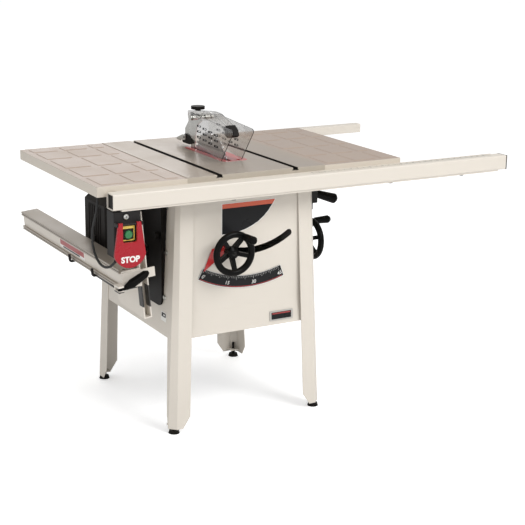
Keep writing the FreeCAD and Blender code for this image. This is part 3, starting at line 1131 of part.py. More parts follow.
def paddle():
    """Drop-shaped stop paddle hung on two horns, with a notch that leaves the button free."""
    front = SWITCH_FRONT - PADDLE_GAP - PADDLE_THICK
    back = front + PADDLE_THICK
    top = PADDLE_HINGE_Z + 6
    bottom = PADDLE_WIDE_Z - PADDLE_ROUND
    edges = []
    right_top = V(SWITCH_X + PADDLE_TOP_HALF, front, top)
    right_wide = V(SWITCH_X + PADDLE_WIDE_HALF, front, PADDLE_WIDE_Z)
    left_top = V(SWITCH_X - PADDLE_TOP_HALF, front, top)
    left_wide = V(SWITCH_X - PADDLE_WIDE_HALF, front, PADDLE_WIDE_Z)
    low = V(SWITCH_X, front, bottom)
    edges.append(Part.LineSegment(left_top, right_top).toShape())
    edges.append(Part.LineSegment(right_top, right_wide).toShape())
    edges.append(Part.Arc(right_wide, low, left_wide).toShape())
    edges.append(Part.LineSegment(left_wide, left_top).toShape())
    plate = Part.Face(Part.Wire(edges)).extrude(V(0, PADDLE_THICK, 0))
    notch = box(SWITCH_X - PADDLE_NOTCH_HALF, SWITCH_X + PADDLE_NOTCH_HALF, front - 1, back + 1,
                PADDLE_NOTCH_Z, top + 1)
    corner = [e for e in notch.Edges if e.BoundBox.YLength > 5 and e.BoundBox.ZMax < PADDLE_NOTCH_Z + 1]
    notch = notch.makeFillet(7, corner)
    pin = rod("x", (front + PADDLE_THICK / 2, PADDLE_HINGE_Z), 2 + RUNNING, SWITCH_X - 70, SWITCH_X + 70)
    keep("stop_paddle", plate.cut(notch).cut(pin))


# ------------------------------------------------------------------ rip fence on its hooks
def rolled(shape):
    turned = shape.copy()
    turned.rotate(V(FENCE_X, 0, FENCE_Z), V(0, 1, 0), -FENCE_ROLL)
    return turned


def fence():
    x0, x1 = FENCE_X - FENCE_DEEP / 2, FENCE_X + FENCE_DEEP / 2
    z0, z1 = FENCE_Z - FENCE_HIGH / 2, FENCE_Z + FENCE_HIGH / 2
    core_x = x0 + 7
    core = box(core_x, x1 - 7, FENCE_FRONT, FENCE_REAR, z0 + FENCE_FACE, z1 - FENCE_FACE)
    hollow = box(core_x + FENCE_WALL, x1 - 7 - FENCE_WALL, FENCE_FRONT + 4, FENCE_REAR + 1,
                 z0 + FENCE_FACE + FENCE_WALL, z1 - FENCE_FACE - FENCE_WALL)
    keep("fence_body", rolled(core.cut(hollow)))
    faces = []
    for low, way in ((z0, 1), (z1 - FENCE_FACE, -1)):
        face = box(x0, x1, FENCE_FRONT + 14, FENCE_REAR, low, low + FENCE_FACE)
        for x in (x0, x1 - 7):
            groove_z = low + FENCE_FACE / 2 - 1.5
            face = face.cut(box(x - 1, x + 3, FENCE_FRONT, FENCE_REAR + 1, groove_z, groove_z + 3))
        outer = low - 1 if way > 0 else low + FENCE_FACE - 3
        for i in range(2):
            gx = x0 + 14 + i * 22
            face = face.cut(box(gx, gx + 10, FENCE_FRONT, FENCE_REAR + 1, outer, outer + 4))
        faces.append(face)
    keep("fence_faces", rolled(Part.makeCompound(faces)))
    fence_head()
    fence_lever()


def fence_head():
    """T-square head: channel across the front, wide gusset plate and the lock's end plate."""
    front = FENCE_FRONT - HEAD_WALL
    x0 = FENCE_X + FENCE_DEEP / 2
    x1 = x0 + HEAD_WIDE
    z0 = FENCE_Z - HEAD_BELOW
    z1 = z0 + HEAD_LONG
    w = HEAD_WALL
    gusset = prism("x", [(front, z0), (GUSSET_REAR - 12, z0), (GUSSET_REAR, z0 + 12),
                         (GUSSET_REAR, z0 + GUSSET_HIGH - 12), (GUSSET_REAR - 12, z0 + GUSSET_HIGH),
                         (front, z0 + GUSSET_HIGH)], x0, x0 + w)
    channel = box(x0, x1, front, front + HEAD_LEG, z0, z1)
    channel = channel.cut(box(x0 + w, x1 - w, front - 1, front + HEAD_LEG - w, z0 + w, z1 - w))
    top = FENCE_Z + FENCE_HIGH / 2 - 7
    plate = box(x0 - FENCE_DEEP + 2, FENCE_X + END_PLATE_RIGHT, front - w, front,
                top - END_PLATE_HIGH, top)
    cap = box(x0 - FENCE_DEEP + 2, x0, front, FENCE_FRONT, FENCE_Z - FENCE_HIGH / 2 + 2,
              FENCE_Z + FENCE_HIGH / 2 - 2)
    px, py, pz = FENCE_X - LEVER_OUT, front - w - LEVER_REACH, FENCE_Z - LEVER_DROP
    ear = LEVER_EAR
    lugs = [box(px - 9, px + 9, py - 9, front, pz + 5, pz + 5 + ear),
            box(px - 9, px + 9, py - 9, front, pz - 5 - ear, pz - 5),
            box(px - 9, px + 26, front - 2 * w, front, pz - 5 - ear, pz + 5 + ear),
            rod("z", (px, py), LEVER_PIN, pz - 5 - ear, pz + 5 + ear)]
    keep("fence_head", rolled(join([channel, gusset, plate, cap] + lugs)))


def fence_lever():
    px, pz = FENCE_X - LEVER_OUT, FENCE_Z - LEVER_DROP
    py = FENCE_FRONT - 2 * HEAD_WALL - LEVER_REACH
    eye = rod("z", (px, py), 8, pz - 4.7, pz + 4.7)
    stub = box(px, px + 21, py - 4.5, py + 4.5, pz - 4.5, pz + 4.5)
    arm = join([eye, stub]).cut(rod("z", (px, py), LEVER_PIN + RUNNING, pz - 9, pz + 9))
    way = V(LEVER_LONG, 0, LEVER_RISE).normalize()
    start = V(px + 19, py, pz)
    r = LEVER_RADIUS
    grip_a = Part.makeCone(r - 6, r, 24, start, way)
    grip_b = Part.makeCone(r, r - 2, 52, start + way * 24, way)
    end = Part.makeCone(r - 2, r - 9, 12, start + way * 76, way)
    lever = join([arm, grip_a, grip_b, end])
    keep("fence_lever", rolled(lever))


def hooks():
    """Two bent rods that carry the fence: out from the side, down behind it and under it."""
    pieces = []
    turn = FreeCAD.Rotation(V(0, 1, 0), -FENCE_ROLL)
    for y, base in ((HOOK_FRONT, COVER_FLANGE_X), (HOOK_REAR, BULGE_X - COVER_RIB_PROUD)):
        r = HOOK_RADIUS
        out = -FENCE_DEEP / 2 - HOOK_GAP - r
        near = FENCE_DEEP / 2 + HOOK_GAP + r
        low = -FENCE_HIGH / 2 - r - 0.3
        high = FENCE_HIGH / 2 - 16
        points = [turn.multVec(V(u, 0, w)) + V(FENCE_X, y, FENCE_Z)
                  for u, w in ((near, high), (near, low), (out, low), (out, low + HOOK_LIP))]
        points.insert(0, V(base, y, points[0].z))
        rod_shape = swept_rod(bent_path(points, [5, 8, 8]), points[0], points[1] - points[0], r)
        foot = box(base - 3, base, y - 14, y + 14, points[0].z - 22, points[0].z + 22)
        pieces.append(join([rod_shape, foot]))
    return pieces


# ------------------------------------------------------------------ mitre gauge in its clips
def mitre_gauge():
    x0 = side_x(1, GAUGE_Z - 60) + LEG_SHEET + GAUGE_GAP
    x1 = x0 + GAUGE_BAR_THICK
    half = GAUGE_BAR_WIDE / 2
    bar = box(x0, x1, GAUGE_PIVOT_Y - 12, GAUGE_PIVOT_Y - 12 + GAUGE_BAR_LONG, GAUGE_Z - half,
              GAUGE_Z + half)
    pin = rod("x", (GAUGE_PIVOT_Y, GAUGE_Z), GAUGE_PIN, x1 - 1, x1 + GAUGE_PLATE)
    keep("gauge_bar", join([bar, pin]))
    plate = rod("x", (GAUGE_PIVOT_Y, GAUGE_Z), GAUGE_HEAD, x1 + FIT, x1 + GAUGE_PLATE)
    face_y = GAUGE_PIVOT_Y - GAUGE_FACE_Y
    plate = plate.cut(box(x0, x1 + 2 * GAUGE_PLATE, face_y - GAUGE_HEAD, face_y,
                          GAUGE_Z - 2 * GAUGE_HEAD, GAUGE_Z + 2 * GAUGE_HEAD))
    face = box(x1 + FIT, x1 + GAUGE_FACE_OUT, face_y - GAUGE_BOSS, face_y,
               GAUGE_Z - GAUGE_HEAD, GAUGE_Z + GAUGE_FACE_HALF)
    face = face.cut(box(x1 + GAUGE_PLATE, x1 + 2 * GAUGE_FACE_OUT, face_y - 2 * GAUGE_BOSS,
                        face_y + GAUGE_BOSS, GAUGE_Z - 2 * GAUGE_HEAD, GAUGE_Z - GAUGE_FACE_HALF))
    droop = math.radians(GAUGE_DROOP)
    way = V(math.cos(droop), 0, -math.sin(droop))
    seat = V(x1 + GAUGE_PLATE + GAUGE_BOSS, GAUGE_PIVOT_Y, GAUGE_Z + GAUGE_HANDLE_RISE)
    boss = Part.makeCylinder(13, 2 * GAUGE_BOSS, seat - way * 2 * GAUGE_BOSS, way)
    head = join([plate, face, boss])
    head = head.cut(rod("x", (GAUGE_PIVOT_Y, GAUGE_Z), GAUGE_PIN + RUNNING, x0,
                        x1 + GAUGE_PLATE + FIT))
    keep("gauge_head", head.cut(Part.makeCylinder(GAUGE_PIN + RUNNING, 2 * GAUGE_BOSS,
                                                  seat - way * (GAUGE_BOSS - 1), way)))
    start = seat + way * FIT
    stem = Part.makeCylinder(GAUGE_PIN, GAUGE_BOSS, seat - way * (GAUGE_BOSS - 1.5), way)
    long = GAUGE_HANDLE - 28
    handle = join([stem, Part.makeCone(11, 13, 20, start, way),
                   Part.makeCone(13, 17.5, long, start + way * 20, way),
                   Part.makeCone(17.5, 10, 8, start + way * (20 + long), way)])
    keep("gauge_handle", handle)
    clips = []
    for y in (GAUGE_PIVOT_Y + 105, GAUGE_PIVOT_Y + 300):
        wall = side_x(1, GAUGE_Z - 26) + PANEL_GAP
        block = box(wall, x1 + 4, y - 10, y + 10, GAUGE_Z - half - 8, GAUGE_Z + half + 8)
        block = block.cut(box(x0 - FIT, x1 + FIT, y - 11, y + 11, GAUGE_Z - half - FIT,
                              GAUGE_Z + half + FIT))
        block = block.cut(box(x1, x1 + 9, y - 11, y + 11, GAUGE_Z - half + 5, GAUGE_Z + half - 5))
        clips.append(block)
    return clips


# ------------------------------------------------------------------ cord
def cord():
    points = [V(*p) for p in CORD_ROUTE]
    radii = []
    for before, here, after in zip(points, points[1:], points[2:]):
        half_turn = (math.pi - (before - here).getAngle(after - here)) / 2
        short = min((before - here).Length, (after - here).Length)
        radii.append(0.45 * short / math.tan(half_turn))
    path = bent_path(points, radii)
    shape = swept_rod(path, points[0], points[1] - points[0], CORD_RADIUS)
    ideal = math.pi * CORD_RADIUS ** 2 * path.Length
    print("cord radii", [round(r, 1) for r in radii], "length", round(path.Length, 1),
          "volume ratio", round(shape.Volume / ideal, 4))
    keep("power_cord", shape)
    way = V(points[1] - points[0]).normalize()
    way_end = (points[-1] - points[-2]).normalize()
    boot = Part.makeCone(7.5, 5.2, 22, points[0] - way * 15, way)
    boot = boot.cut(Part.makeCylinder(CORD_RADIUS, 60, points[0], way))
    boot = boot.cut(box(SWITCH_X - SWITCH_WIDE, SWITCH_X + SWITCH_WIDE, SWITCH_FRONT - SWITCH_DEEP,
                        SWITCH_BACK + SWITCH_DEEP, SWITCH_BOTTOM, SWITCH_TOP))
    under = TABLE_TOP - PAD_RISE - WING_SHEET
    clip = Part.makeCylinder(9, 20, points[-1] - way_end * 6, way_end)
    clip = clip.cut(Part.makeCylinder(CORD_RADIUS, 6, points[-1] - way_end * 6, way_end))
    clip = clip.cut(box(-HALF_WIDTH - 2 * WING_WIDTH, -HALF_WIDTH, -HALF_DEPTH, 0, under,
                        under + WING_LIP))
    return [boot, clip]


# ------------------------------------------------------------------ build, centre and write
def build():
    main_table()
    wing("left_wing", -HALF_WIDTH - WING_WIDTH)
    wing("right_wing", HALF_WIDTH)
    table_insert()
    rails()
    legs()
    panels()
    dust_chute()
    motor_cover()
    trunnions()
    worm_bracket()
    cradles()
    saddle()
    pointer()
    tilt_scale()
    raising_gear()
    tilting_gear()
    arbor_carriage()
    motor()
    arbor()
    blade()
    drive()
    guard_spine(guard())
    leaves()
    switch()
    paddle()
    fence()
    keep("storage_hooks", Part.makeCompound(hooks() + mitre_gauge() + cord()))


build()
whole = Part.makeCompound([s for n, s in NODES.items() if n != "power_cord"])
bounds = whole.optimalBoundingBox(False, False)
origin = V((bounds.XMin + bounds.XMax) / 2, (bounds.YMin + bounds.YMax) / 2, 0)
for name, shape in NODES.items():
    placed = shape.copy()
    placed.translate(-origin)
    placed.exportStep("parts/" + name + ".step")
print(len(NODES), "sub-parts; origin at", origin, "bounds", bounds)
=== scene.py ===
# %% [markdown]
# # A table saw, dressed for its picture
# The construction of this saw is already finished: every casting, panel, shaft and wheel arrives
# as solid geometry, in metres, standing on the floor.  What is left for Blender is what the eye
# sees: paint, cast iron, clear plastic, printed scales, screws, and the lead that hangs from the
# switch.  Each cell below makes one piece or one finish, and says why it is made that way.

# %% Load the saw
import math

import bmesh
import bpy
from mathutils import Matrix, Vector
from mathutils.bvhtree import BVHTree


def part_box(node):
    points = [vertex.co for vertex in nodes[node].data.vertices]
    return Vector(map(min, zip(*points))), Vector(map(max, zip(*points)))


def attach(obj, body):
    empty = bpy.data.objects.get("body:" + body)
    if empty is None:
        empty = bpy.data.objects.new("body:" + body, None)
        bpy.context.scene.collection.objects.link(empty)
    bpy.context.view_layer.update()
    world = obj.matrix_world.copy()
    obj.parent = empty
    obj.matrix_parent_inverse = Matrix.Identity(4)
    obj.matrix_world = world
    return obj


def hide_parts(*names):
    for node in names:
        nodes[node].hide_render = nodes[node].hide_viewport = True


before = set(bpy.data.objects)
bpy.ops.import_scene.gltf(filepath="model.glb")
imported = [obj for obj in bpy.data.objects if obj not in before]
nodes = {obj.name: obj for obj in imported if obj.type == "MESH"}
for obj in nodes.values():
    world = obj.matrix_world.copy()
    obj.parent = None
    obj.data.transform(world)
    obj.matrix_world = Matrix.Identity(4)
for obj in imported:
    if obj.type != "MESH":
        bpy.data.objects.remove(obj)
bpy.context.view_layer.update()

# %% [markdown]
# A saw is laid out from the middle of its table: the blade, the mitre slots and the stand are all
# measured from there.  The table's own box gives that point, so every place below is written as a
# distance from the middle of the table and from the floor.  If the model's origin moves, nothing
# here has to be changed.

# %% Find the middle of the table
table_low, table_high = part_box("main_table")
MIDDLE = (table_low + table_high) / 2
TABLE_TOP = table_high.z


def at(x, y, z):
    """A point in the row frame from distances to the middle of the table and to the floor."""
    return Vector((MIDDLE.x + x, MIDDLE.y + y, z))


print("middle of the table", MIDDLE, "table top", round(TABLE_TOP, 4))

# %% [markdown]
# The picture is taken from the operator's left, a little above the table, with a long lens that
# keeps the rails nearly parallel.  A camera has only a place, a direction and a roll, so it is
# built from two angles and turned by a matrix instead of by guesswork in the viewport.

# %% Camera
CAMERA_AT = at(-2.045, -3.954, 1.699)
AZIMUTH, ELEVATION, ROLL = (math.radians(a) for a in (-29.77, 15.31, 0.83))
FOCAL_LENGTH, SENSOR_WIDTH = 89.84, 36.0  # millimetres

ahead = Vector((-math.sin(AZIMUTH) * math.cos(ELEVATION),
                math.cos(AZIMUTH) * math.cos(ELEVATION), -math.sin(ELEVATION)))
right = Vector((math.cos(AZIMUTH), math.sin(AZIMUTH), 0))
up = right.cross(ahead)
right, up = (math.cos(ROLL) * right + math.sin(ROLL) * up,
             math.cos(ROLL) * up - math.sin(ROLL) * right)

lens = bpy.data.cameras.new("camera")
lens.lens, lens.sensor_width = FOCAL_LENGTH, SENSOR_WIDTH
lens.clip_end = 60.0
camera = bpy.data.objects.new("camera", lens)
turn = Matrix((right, up, -ahead)).transposed().to_4x4()
camera.matrix_world = Matrix.Translation(CAMERA_AT) @ turn
bpy.context.scene.collection.objects.link(camera)
bpy.context.scene.camera = camera
print("camera", CAMERA_AT)

# %% [markdown]
# ## Helpers for nodes
# Materials, the sky and Geometry Nodes are all trees of nodes.  Writing `nodes.new(...)` and
# `links.new(...)` for every node soon hides what a tree does.  So `plant` adds a node and sets its
# options, and `feed` fills its inputs with plain values or with earlier nodes.  A node stands for
# its first live output; where another one is meant, that socket is handed over by name.

# %% Helpers that plant and feed nodes
def socket_of(value):
    """A node stands for its first live output; anything else stands for itself."""
    if isinstance(value, bpy.types.Node):
        return next(output for output in value.outputs if output.enabled)
    return value


def feed(node, inputs):
    """Fill a node's inputs with values, sockets or other nodes, and give the node back."""
    for name, value in inputs.items():
        socket, source = node.inputs[name], socket_of(value)
        if isinstance(source, bpy.types.NodeSocket):
            node.id_data.links.new(source, socket)
        else:
            socket.default_value = (*value, 1) if socket.type == "RGBA" else value
    return node


def plant(tree, kind, inputs=None, **options):
    """Add a node, set its options, then feed it."""
    node = tree.nodes.new(kind)
    for option, value in options.items():
        setattr(node, option, value)
    return feed(node, inputs or {})


def sum_of(tree, kind, *values, **options):
    """A Math node that works on its values in order."""
    return plant(tree, "ShaderNodeMath", dict(enumerate(values)), operation=kind, **options)


def vector_sum(tree, kind, *values):
    """The same for vectors."""
    return plant(tree, "ShaderNodeVectorMath", dict(enumerate(values)), operation=kind)


def ramp(tree, value, low, high, bottom=0.0, top=1.0):
    """Stretch what lies from low to high over the range from bottom to top."""
    return plant(tree, "ShaderNodeMapRange", {"Value": value, "From Min": low, "From Max": high,
                                              "To Min": bottom, "To Max": top})


print("node helpers ready")

# %% [markdown]
# Three things are made again and again below: an object in the scene, a material with its
# Principled shader at hand, and a strength that differs for the camera.  The last one uses the
# Light Path node, which tells whether a ray comes straight from the camera.

# %% Helpers for objects and materials
def in_scene(name, data):
    """An object for a mesh, a light or a curve, put in the scene at the origin."""
    thing = bpy.data.objects.new(name, data)
    bpy.context.scene.collection.objects.link(thing)
    return thing


def material_of(name, constants):
    """A new material, its tree, and its shader with the inputs that never change."""
    material = bpy.data.materials.new(name)
    material.use_nodes = True
    shader = material.node_tree.nodes["Principled BSDF"]
    return material, material.node_tree, feed(shader, constants)


def strength_of(tree, for_the_saw, for_the_camera):
    """One strength for the rays that reach the saw and another for the camera's own."""
    seen = plant(tree, "ShaderNodeLightPath").outputs["Is Camera Ray"]
    return ramp(tree, seen, 0.0, 1.0, for_the_saw, for_the_camera)


print("object and material helpers ready")

# %% [markdown]
# A studio shot of a machine needs a floor that disappears and light from large, soft sources.
# One plain plane is enough for the floor: it takes the soft shadow under the feet, and its colour
# is close to the background's.
# The plain "Standard" view keeps paint colours as they are mixed; the filmic views would grey the
# white background and the cream paint.  The camera sees pure white while the saw gets a weaker
# sky, so that the lamps below can still model its shapes.  The floor glows a little, again for
# the camera alone, so it stays as white as the sky out to the horizon.

# %% Floor and background
AIR_FOR_THE_SAW, AIR_FOR_THE_CAMERA = 0.62, 1.0
FLOOR_GLOW, FLOOR_REACH = 0.42, 30

floor_mesh = bpy.data.meshes.new("studio_floor")
floor_mesh.from_pydata([(x * FLOOR_REACH, y * FLOOR_REACH, 0)
                        for x, y in ((-1, -1), (1, -1), (1, 1), (-1, 1))], [], [(0, 1, 2, 3)])
studio_floor = in_scene("studio_floor", floor_mesh)
floor_paper, tree, shader = material_of("floor_paper", {
    "Base Color": (0.95, 0.95, 0.95), "Roughness": 0.9, "Emission Color": (1, 1, 1)})
feed(shader, {"Emission Strength": strength_of(tree, 0.0, FLOOR_GLOW)})
floor_mesh.materials.append(floor_paper)

world = bpy.data.worlds.new("studio_air")
world.use_nodes = True
feed(world.node_tree.nodes["Background"], {
    "Color": (1, 1, 1),
    "Strength": strength_of(world.node_tree, AIR_FOR_THE_SAW, AIR_FOR_THE_CAMERA)})
bpy.context.scene.world = world
bpy.context.scene.view_settings.view_transform = "Standard"
print("floor and background ready")

# %% [markdown]
# Soft boxes light the saw.  The key stands in front on the right, so the front is bright and the
# left flank falls into a soft shade that shows the folds.  A weak fill opens that shade, and one
# box overhead lights the castings.  A low box behind the saw, hidden from the camera, makes the
# long sheen on the enamel of the left wing: a shallow view over a flat top mirrors what is behind.

# %% Lights
HEART, LEFT_WING = at(0, 0, 0.6), at(-0.5, 0, 0.85)
SOFT_BOXES = {  # place, target, size in metres, power in watts
    "key_light": (at(1.4, -4.0, 4.0), HEART, 2.2, 150),
    "fill_light": (at(-3.6, -2.4, 1.8), HEART, 3.0, 26),
    "top_light": (at(0.2, 0.4, 3.8), HEART, 3.0, 22),
    "sheen_light": (at(1.65, 5.0, 2.3), LEFT_WING, 1.8, 9),
}
for name, (place, target, size, power) in SOFT_BOXES.items():
    light = bpy.data.lights.new(name, "AREA")
    light.shape, light.size, light.energy = "SQUARE", size, power
    lamp = in_scene(name, light)
    lamp.location = place
    lamp.rotation_euler = (target - place).to_track_quat("-Z", "Y").to_euler()
    lamp.visible_camera = name != "sheen_light"
print(len(SOFT_BOXES), "soft boxes")

# %% [markdown]
# ## Finishes
# Folded sheet, castings and mouldings have no knife edges: light catches a thin line along every
# fold, and there the paint is rubbed first.  The Bevel node gives a rounded normal near an edge.
# Where that normal differs from the face's own there is an edge, so the same node also makes the
# mask for wear, broken up by noise so that it never follows the edge evenly.  Wear, grain and
# dust serve many finishes, so each is a node group with its own inputs and outputs.

# %% Edge wear, as a shader group
KINDS = ((float, "NodeSocketFloat"), (int, "NodeSocketInt"), (tuple, "NodeSocketVector"),
         (bpy.types.Material, "NodeSocketMaterial"))


def open_ends(tree, inputs, outputs):
    """Give a tree its named inputs and outputs; the kind of each follows from its value."""
    for way, named in (("INPUT", inputs), ("OUTPUT", outputs)):
        for name, first in named.items():
            kind = next(kind for sample, kind in KINDS if isinstance(first, sample))
            made = tree.interface.new_socket(name=name, in_out=way, socket_type=kind)
            made.default_value = first
    return tree.nodes.new("NodeGroupInput").outputs, tree.nodes.new("NodeGroupOutput")


def shader_group(name, inputs, outputs):
    """A new shader group, the sockets of its inputs and the node of its outputs."""
    tree = bpy.data.node_groups.new(name, "ShaderNodeTree")
    return tree, *open_ends(tree, inputs, outputs)


def noise(tree, place, scale, detail, roughness=0.5):
    """Noise over a place; a larger scale is finer, and more detail adds smaller layers."""
    return plant(tree, "ShaderNodeTexNoise", {"Vector": place, "Scale": scale, "Detail": detail,
                                              "Roughness": roughness})


edge_wear, given, result = shader_group("edge_wear", {"Radius": 0.0008, "Patch size": 60.0},
                                        {"Mask": 0.0, "Normal": (0, 0, 0)})
rounded = plant(edge_wear, "ShaderNodeBevel", {"Radius": given["Radius"]}, samples=4)
flat = plant(edge_wear, "ShaderNodeNewGeometry").outputs["Normal"]
along = vector_sum(edge_wear, "DOT_PRODUCT", rounded, flat)
edge = ramp(edge_wear, along, 0.985, 0.80)
spots = plant(edge_wear, "ShaderNodeTexCoord").outputs["Object"]
kept = ramp(edge_wear, noise(edge_wear, spots, given["Patch size"], 4.0), 0.45, 0.65)
feed(result, {"Mask": sum_of(edge_wear, "MULTIPLY", edge, kept), "Normal": rounded})
print("edge_wear:", [item.name for item in edge_wear.interface.items_tree])

# %% [markdown]
# Powder coat has a fine pebble, moulded plastic a spark-eroded grain, and ground iron long fine
# scratches.  All three are noise at different sizes, and a scratch is noise that is stretched
# along one axis.  So one group serves them all: a stretch for the three axes, and two outputs,
# a height for the bump and a slow tone for the colour and the gloss.

# %% Surface grain, as a shader group
surface_grain, given, result = shader_group(
    "surface_grain", {"Stretch": (1.0, 1.0, 1.0), "Fineness": 900.0, "Cloud size": 7.0},
    {"Height": 0.0, "Tone": 0.0})
spots = plant(surface_grain, "ShaderNodeTexCoord").outputs["Object"]
pulled = vector_sum(surface_grain, "MULTIPLY", spots, given["Stretch"])
feed(result, {"Height": noise(surface_grain, pulled, given["Fineness"], 2.0),
              "Tone": noise(surface_grain, pulled, given["Cloud size"], 5.0, roughness=0.6)})
print("surface_grain ready")

# %% [markdown]
# A saw makes dust.  It settles only on what faces up, in thin uneven clouds, so the mask is the
# upward part of the surface's own direction times a soft noise.

# %% Settled dust, as a shader group
settled_dust, given, result = shader_group("settled_dust", {"Amount": 0.1}, {"Mask": 0.0})
spots = plant(settled_dust, "ShaderNodeTexCoord").outputs
ways = plant(settled_dust, "ShaderNodeSeparateXYZ", {"Vector": spots["Normal"]}).outputs
thin = ramp(settled_dust, noise(settled_dust, spots["Object"], 11.0, 6.0), 0.4, 0.75)
both = sum_of(settled_dust, "MULTIPLY", ramp(settled_dust, ways["Z"], 0.5, 1.0), thin)
feed(result, {"Mask": sum_of(settled_dust, "MULTIPLY", both, given["Amount"])})
print("settled_dust ready")

# %% [markdown]
# With those three groups every finish is the same short recipe: a colour that drifts a little
# with the slow tone, a rubbed colour on the edges, dust on top, a roughness that follows the same
# masks, and the grain as a bump over the rounded edges.  What is constant over a surface, such
# as a coat or the metalness, is set on the shader itself.

# %% The recipe for a finish
DUST = (0.62, 0.53, 0.41)
FIRST_COLOUR, SECOND_COLOUR = 6, 7  # a Mix node has several sockets named A and B


def blend(tree, mask, first, second):
    """Colour `first` where the mask is 0 and `second` where it is 1."""
    return plant(tree, "ShaderNodeMix", {0: mask, FIRST_COLOUR: first, SECOND_COLOUR: second},
                 data_type="RGBA", clamp_factor=True)


def bumps(tree, height, relief, more=None):
    """A normal that follows a height, at most `relief` metres deep."""
    return plant(tree, "ShaderNodeBump", {"Height": height, "Distance": relief, **(more or {})})


def split(tree, coordinate):
    """The X, Y and Z sockets of one of a surface's own coordinates."""
    source = plant(tree, "ShaderNodeTexCoord").outputs[coordinate]
    return plant(tree, "ShaderNodeSeparateXYZ", {"Vector": source}).outputs


def finish(name, colour, gloss, drift=0.06, metal=0.0, coat=0.0, rubbed=None, edge=0.0008,
           pebble=900.0, relief=0.00003, stretch=(1, 1, 1), clouds=7.0, dust=0.1, sides=None,
           shine=0.5, boxed=None):
    """A painted, moulded, ground or turned surface; gloss is its roughness from 0 to 1."""
    material, tree, shader = material_of(name, {"Metallic": metal, "Coat Weight": coat,
                                                "Specular IOR Level": shine})
    grain = plant(tree, "ShaderNodeGroup", {"Stretch": stretch, "Fineness": pebble,
                                            "Cloud size": clouds}, node_tree=surface_grain).outputs
    wear = plant(tree, "ShaderNodeGroup", {"Radius": edge}, node_tree=edge_wear).outputs
    powder = plant(tree, "ShaderNodeGroup", {"Amount": dust}, node_tree=settled_dust)

    darker = [channel * (1 - drift) for channel in colour]
    lighter = [min(1.0, channel * (1 + drift)) for channel in colour]
    shade = blend(tree, grain["Tone"], darker, lighter)
    if sides:
        shade = blend(tree, ramp(tree, split(tree, "Normal")["Z"], 0.25, 0.45), sides, shade)
    shade = blend(tree, wear["Mask"], shade, rubbed or lighter)
    # A colour inside a box: painted shade in the table's slots, and the near-black band on the
    # fence's head.
    if boxed:
        low, high, other = boxed
        inside = 1.0
        for place, least, most in zip(split(tree, "Object"), low, high):
            within = sum_of(tree, "COMPARE", place, (least + most) / 2, (most - least) / 2)
            inside = sum_of(tree, "MULTIPLY", inside, within)
        shade = blend(tree, inside, shade, other)

    rough = ramp(tree, grain["Tone"], 0.3, 0.7, gloss * 0.85, min(1.0, gloss * 1.15))
    feed(shader, {"Base Color": blend(tree, powder, shade, DUST),
                  "Roughness": sum_of(tree, "ADD", rough, powder, use_clamp=True),
                  "Normal": bumps(tree, grain["Height"], relief, {"Normal": wear["Normal"]})})
    return material


print("recipe ready")

# %% [markdown]
# The sheet metal is cream powder coat: satin, warm white, with the fine pebble of baked powder.
# It wears to a slightly lighter, polished cream at the folds, and not to bare steel.  The fence,
# rails, legs and panels share it.  The fence's head is coloured near-black between two heights
# and in front of a line, so its finish is painted over inside a box: three comparisons, one for
# each axis.

# %% Cream powder coat
CREAM = dict(colour=(0.66, 0.61, 0.54), gloss=0.42, drift=0.025, coat=0.1,
             rubbed=(0.78, 0.735, 0.67), pebble=1400, relief=0.00002, clouds=3.0, dust=0.05)
DARK_BAND_LOW, DARK_BAND_HIGH, DARK_BAND_BACK = 0.460, 0.532, -0.298
cream = finish("cream_powder_coat", **CREAM)
head_coat = finish("fence_head_coat", **CREAM, boxed=(
    at(-1, -1, DARK_BAND_LOW), at(1, DARK_BAND_BACK, DARK_BAND_HIGH), (0.012, 0.011, 0.010)))
print(cream.name, head_coat.name)

# %% [markdown]
# The table is grey iron, planed and ground along its length, then waxed.  Grinding leaves
# scratches along Y, so the grain is squeezed along that axis, and the tone drifts in long bands.
# Bare iron is a metal, but a dull one, so it keeps only part of the metalness; that gives the
# blurred reflection of the guard that stands on it.  Its sides are painted like the stand.  The
# inside of its slots is painted dark, as painted shade for the shadow that falls into them: again
# a colour inside a box, which starts a little under the top and stops a little short of the ends.

# %% Ground cast iron
SCRATCH = 0.00001  # the depth of a fine scratch, in metres
# The box of painted shade inside the slots; its dark colour is the last item of `boxed` below.
SLOT_SHADE_FROM = table_low + Vector((0.01, 0.0008, 0.02))
SLOT_SHADE_TO = table_high - Vector((0.01, 0.002, 0.0007))
ground_iron = finish("ground_cast_iron", (0.40, 0.335, 0.275), 0.33, drift=0.10, metal=0.55,
                     coat=0.15, rubbed=(0.54, 0.48, 0.42), pebble=700, relief=SCRATCH,
                     stretch=(1.0, 0.035, 1.0), clouds=10.0, dust=0.12, edge=0.0006,
                     sides=(0.50, 0.45, 0.38), boxed=(SLOT_SHADE_FROM, SLOT_SHADE_TO, (0.03, 0.026, 0.022)))
print(ground_iron.name)

# %% [markdown]
# The extension wings are pressed steel with a field of low raised rectangles.  Their top is a
# warm grey-brown stoving enamel, and the faces that don't look up are coloured a lighter cream,
# so the finish asks which way the surface faces.

# %% Wing enamel
wing_enamel = finish("wing_enamel", (0.38, 0.29, 0.23), 0.38, drift=0.05, metal=0.15, coat=0.2,
                     rubbed=(0.60, 0.52, 0.44), pebble=1100, relief=0.00002, clouds=5.0,
                     dust=0.10, edge=0.0022, sides=(0.62, 0.56, 0.48))
print(wing_enamel.name)

# %% [markdown]
# Black parts aren't one black.  The motor cover is moulded with a visible grain, the wheels are
# iron under a smooth enamel, the grips and the lever are a deeper black plastic, the switch box
# is a dark grey, the brackets and hooks are black enamel on steel, and the lead is dull rubber.

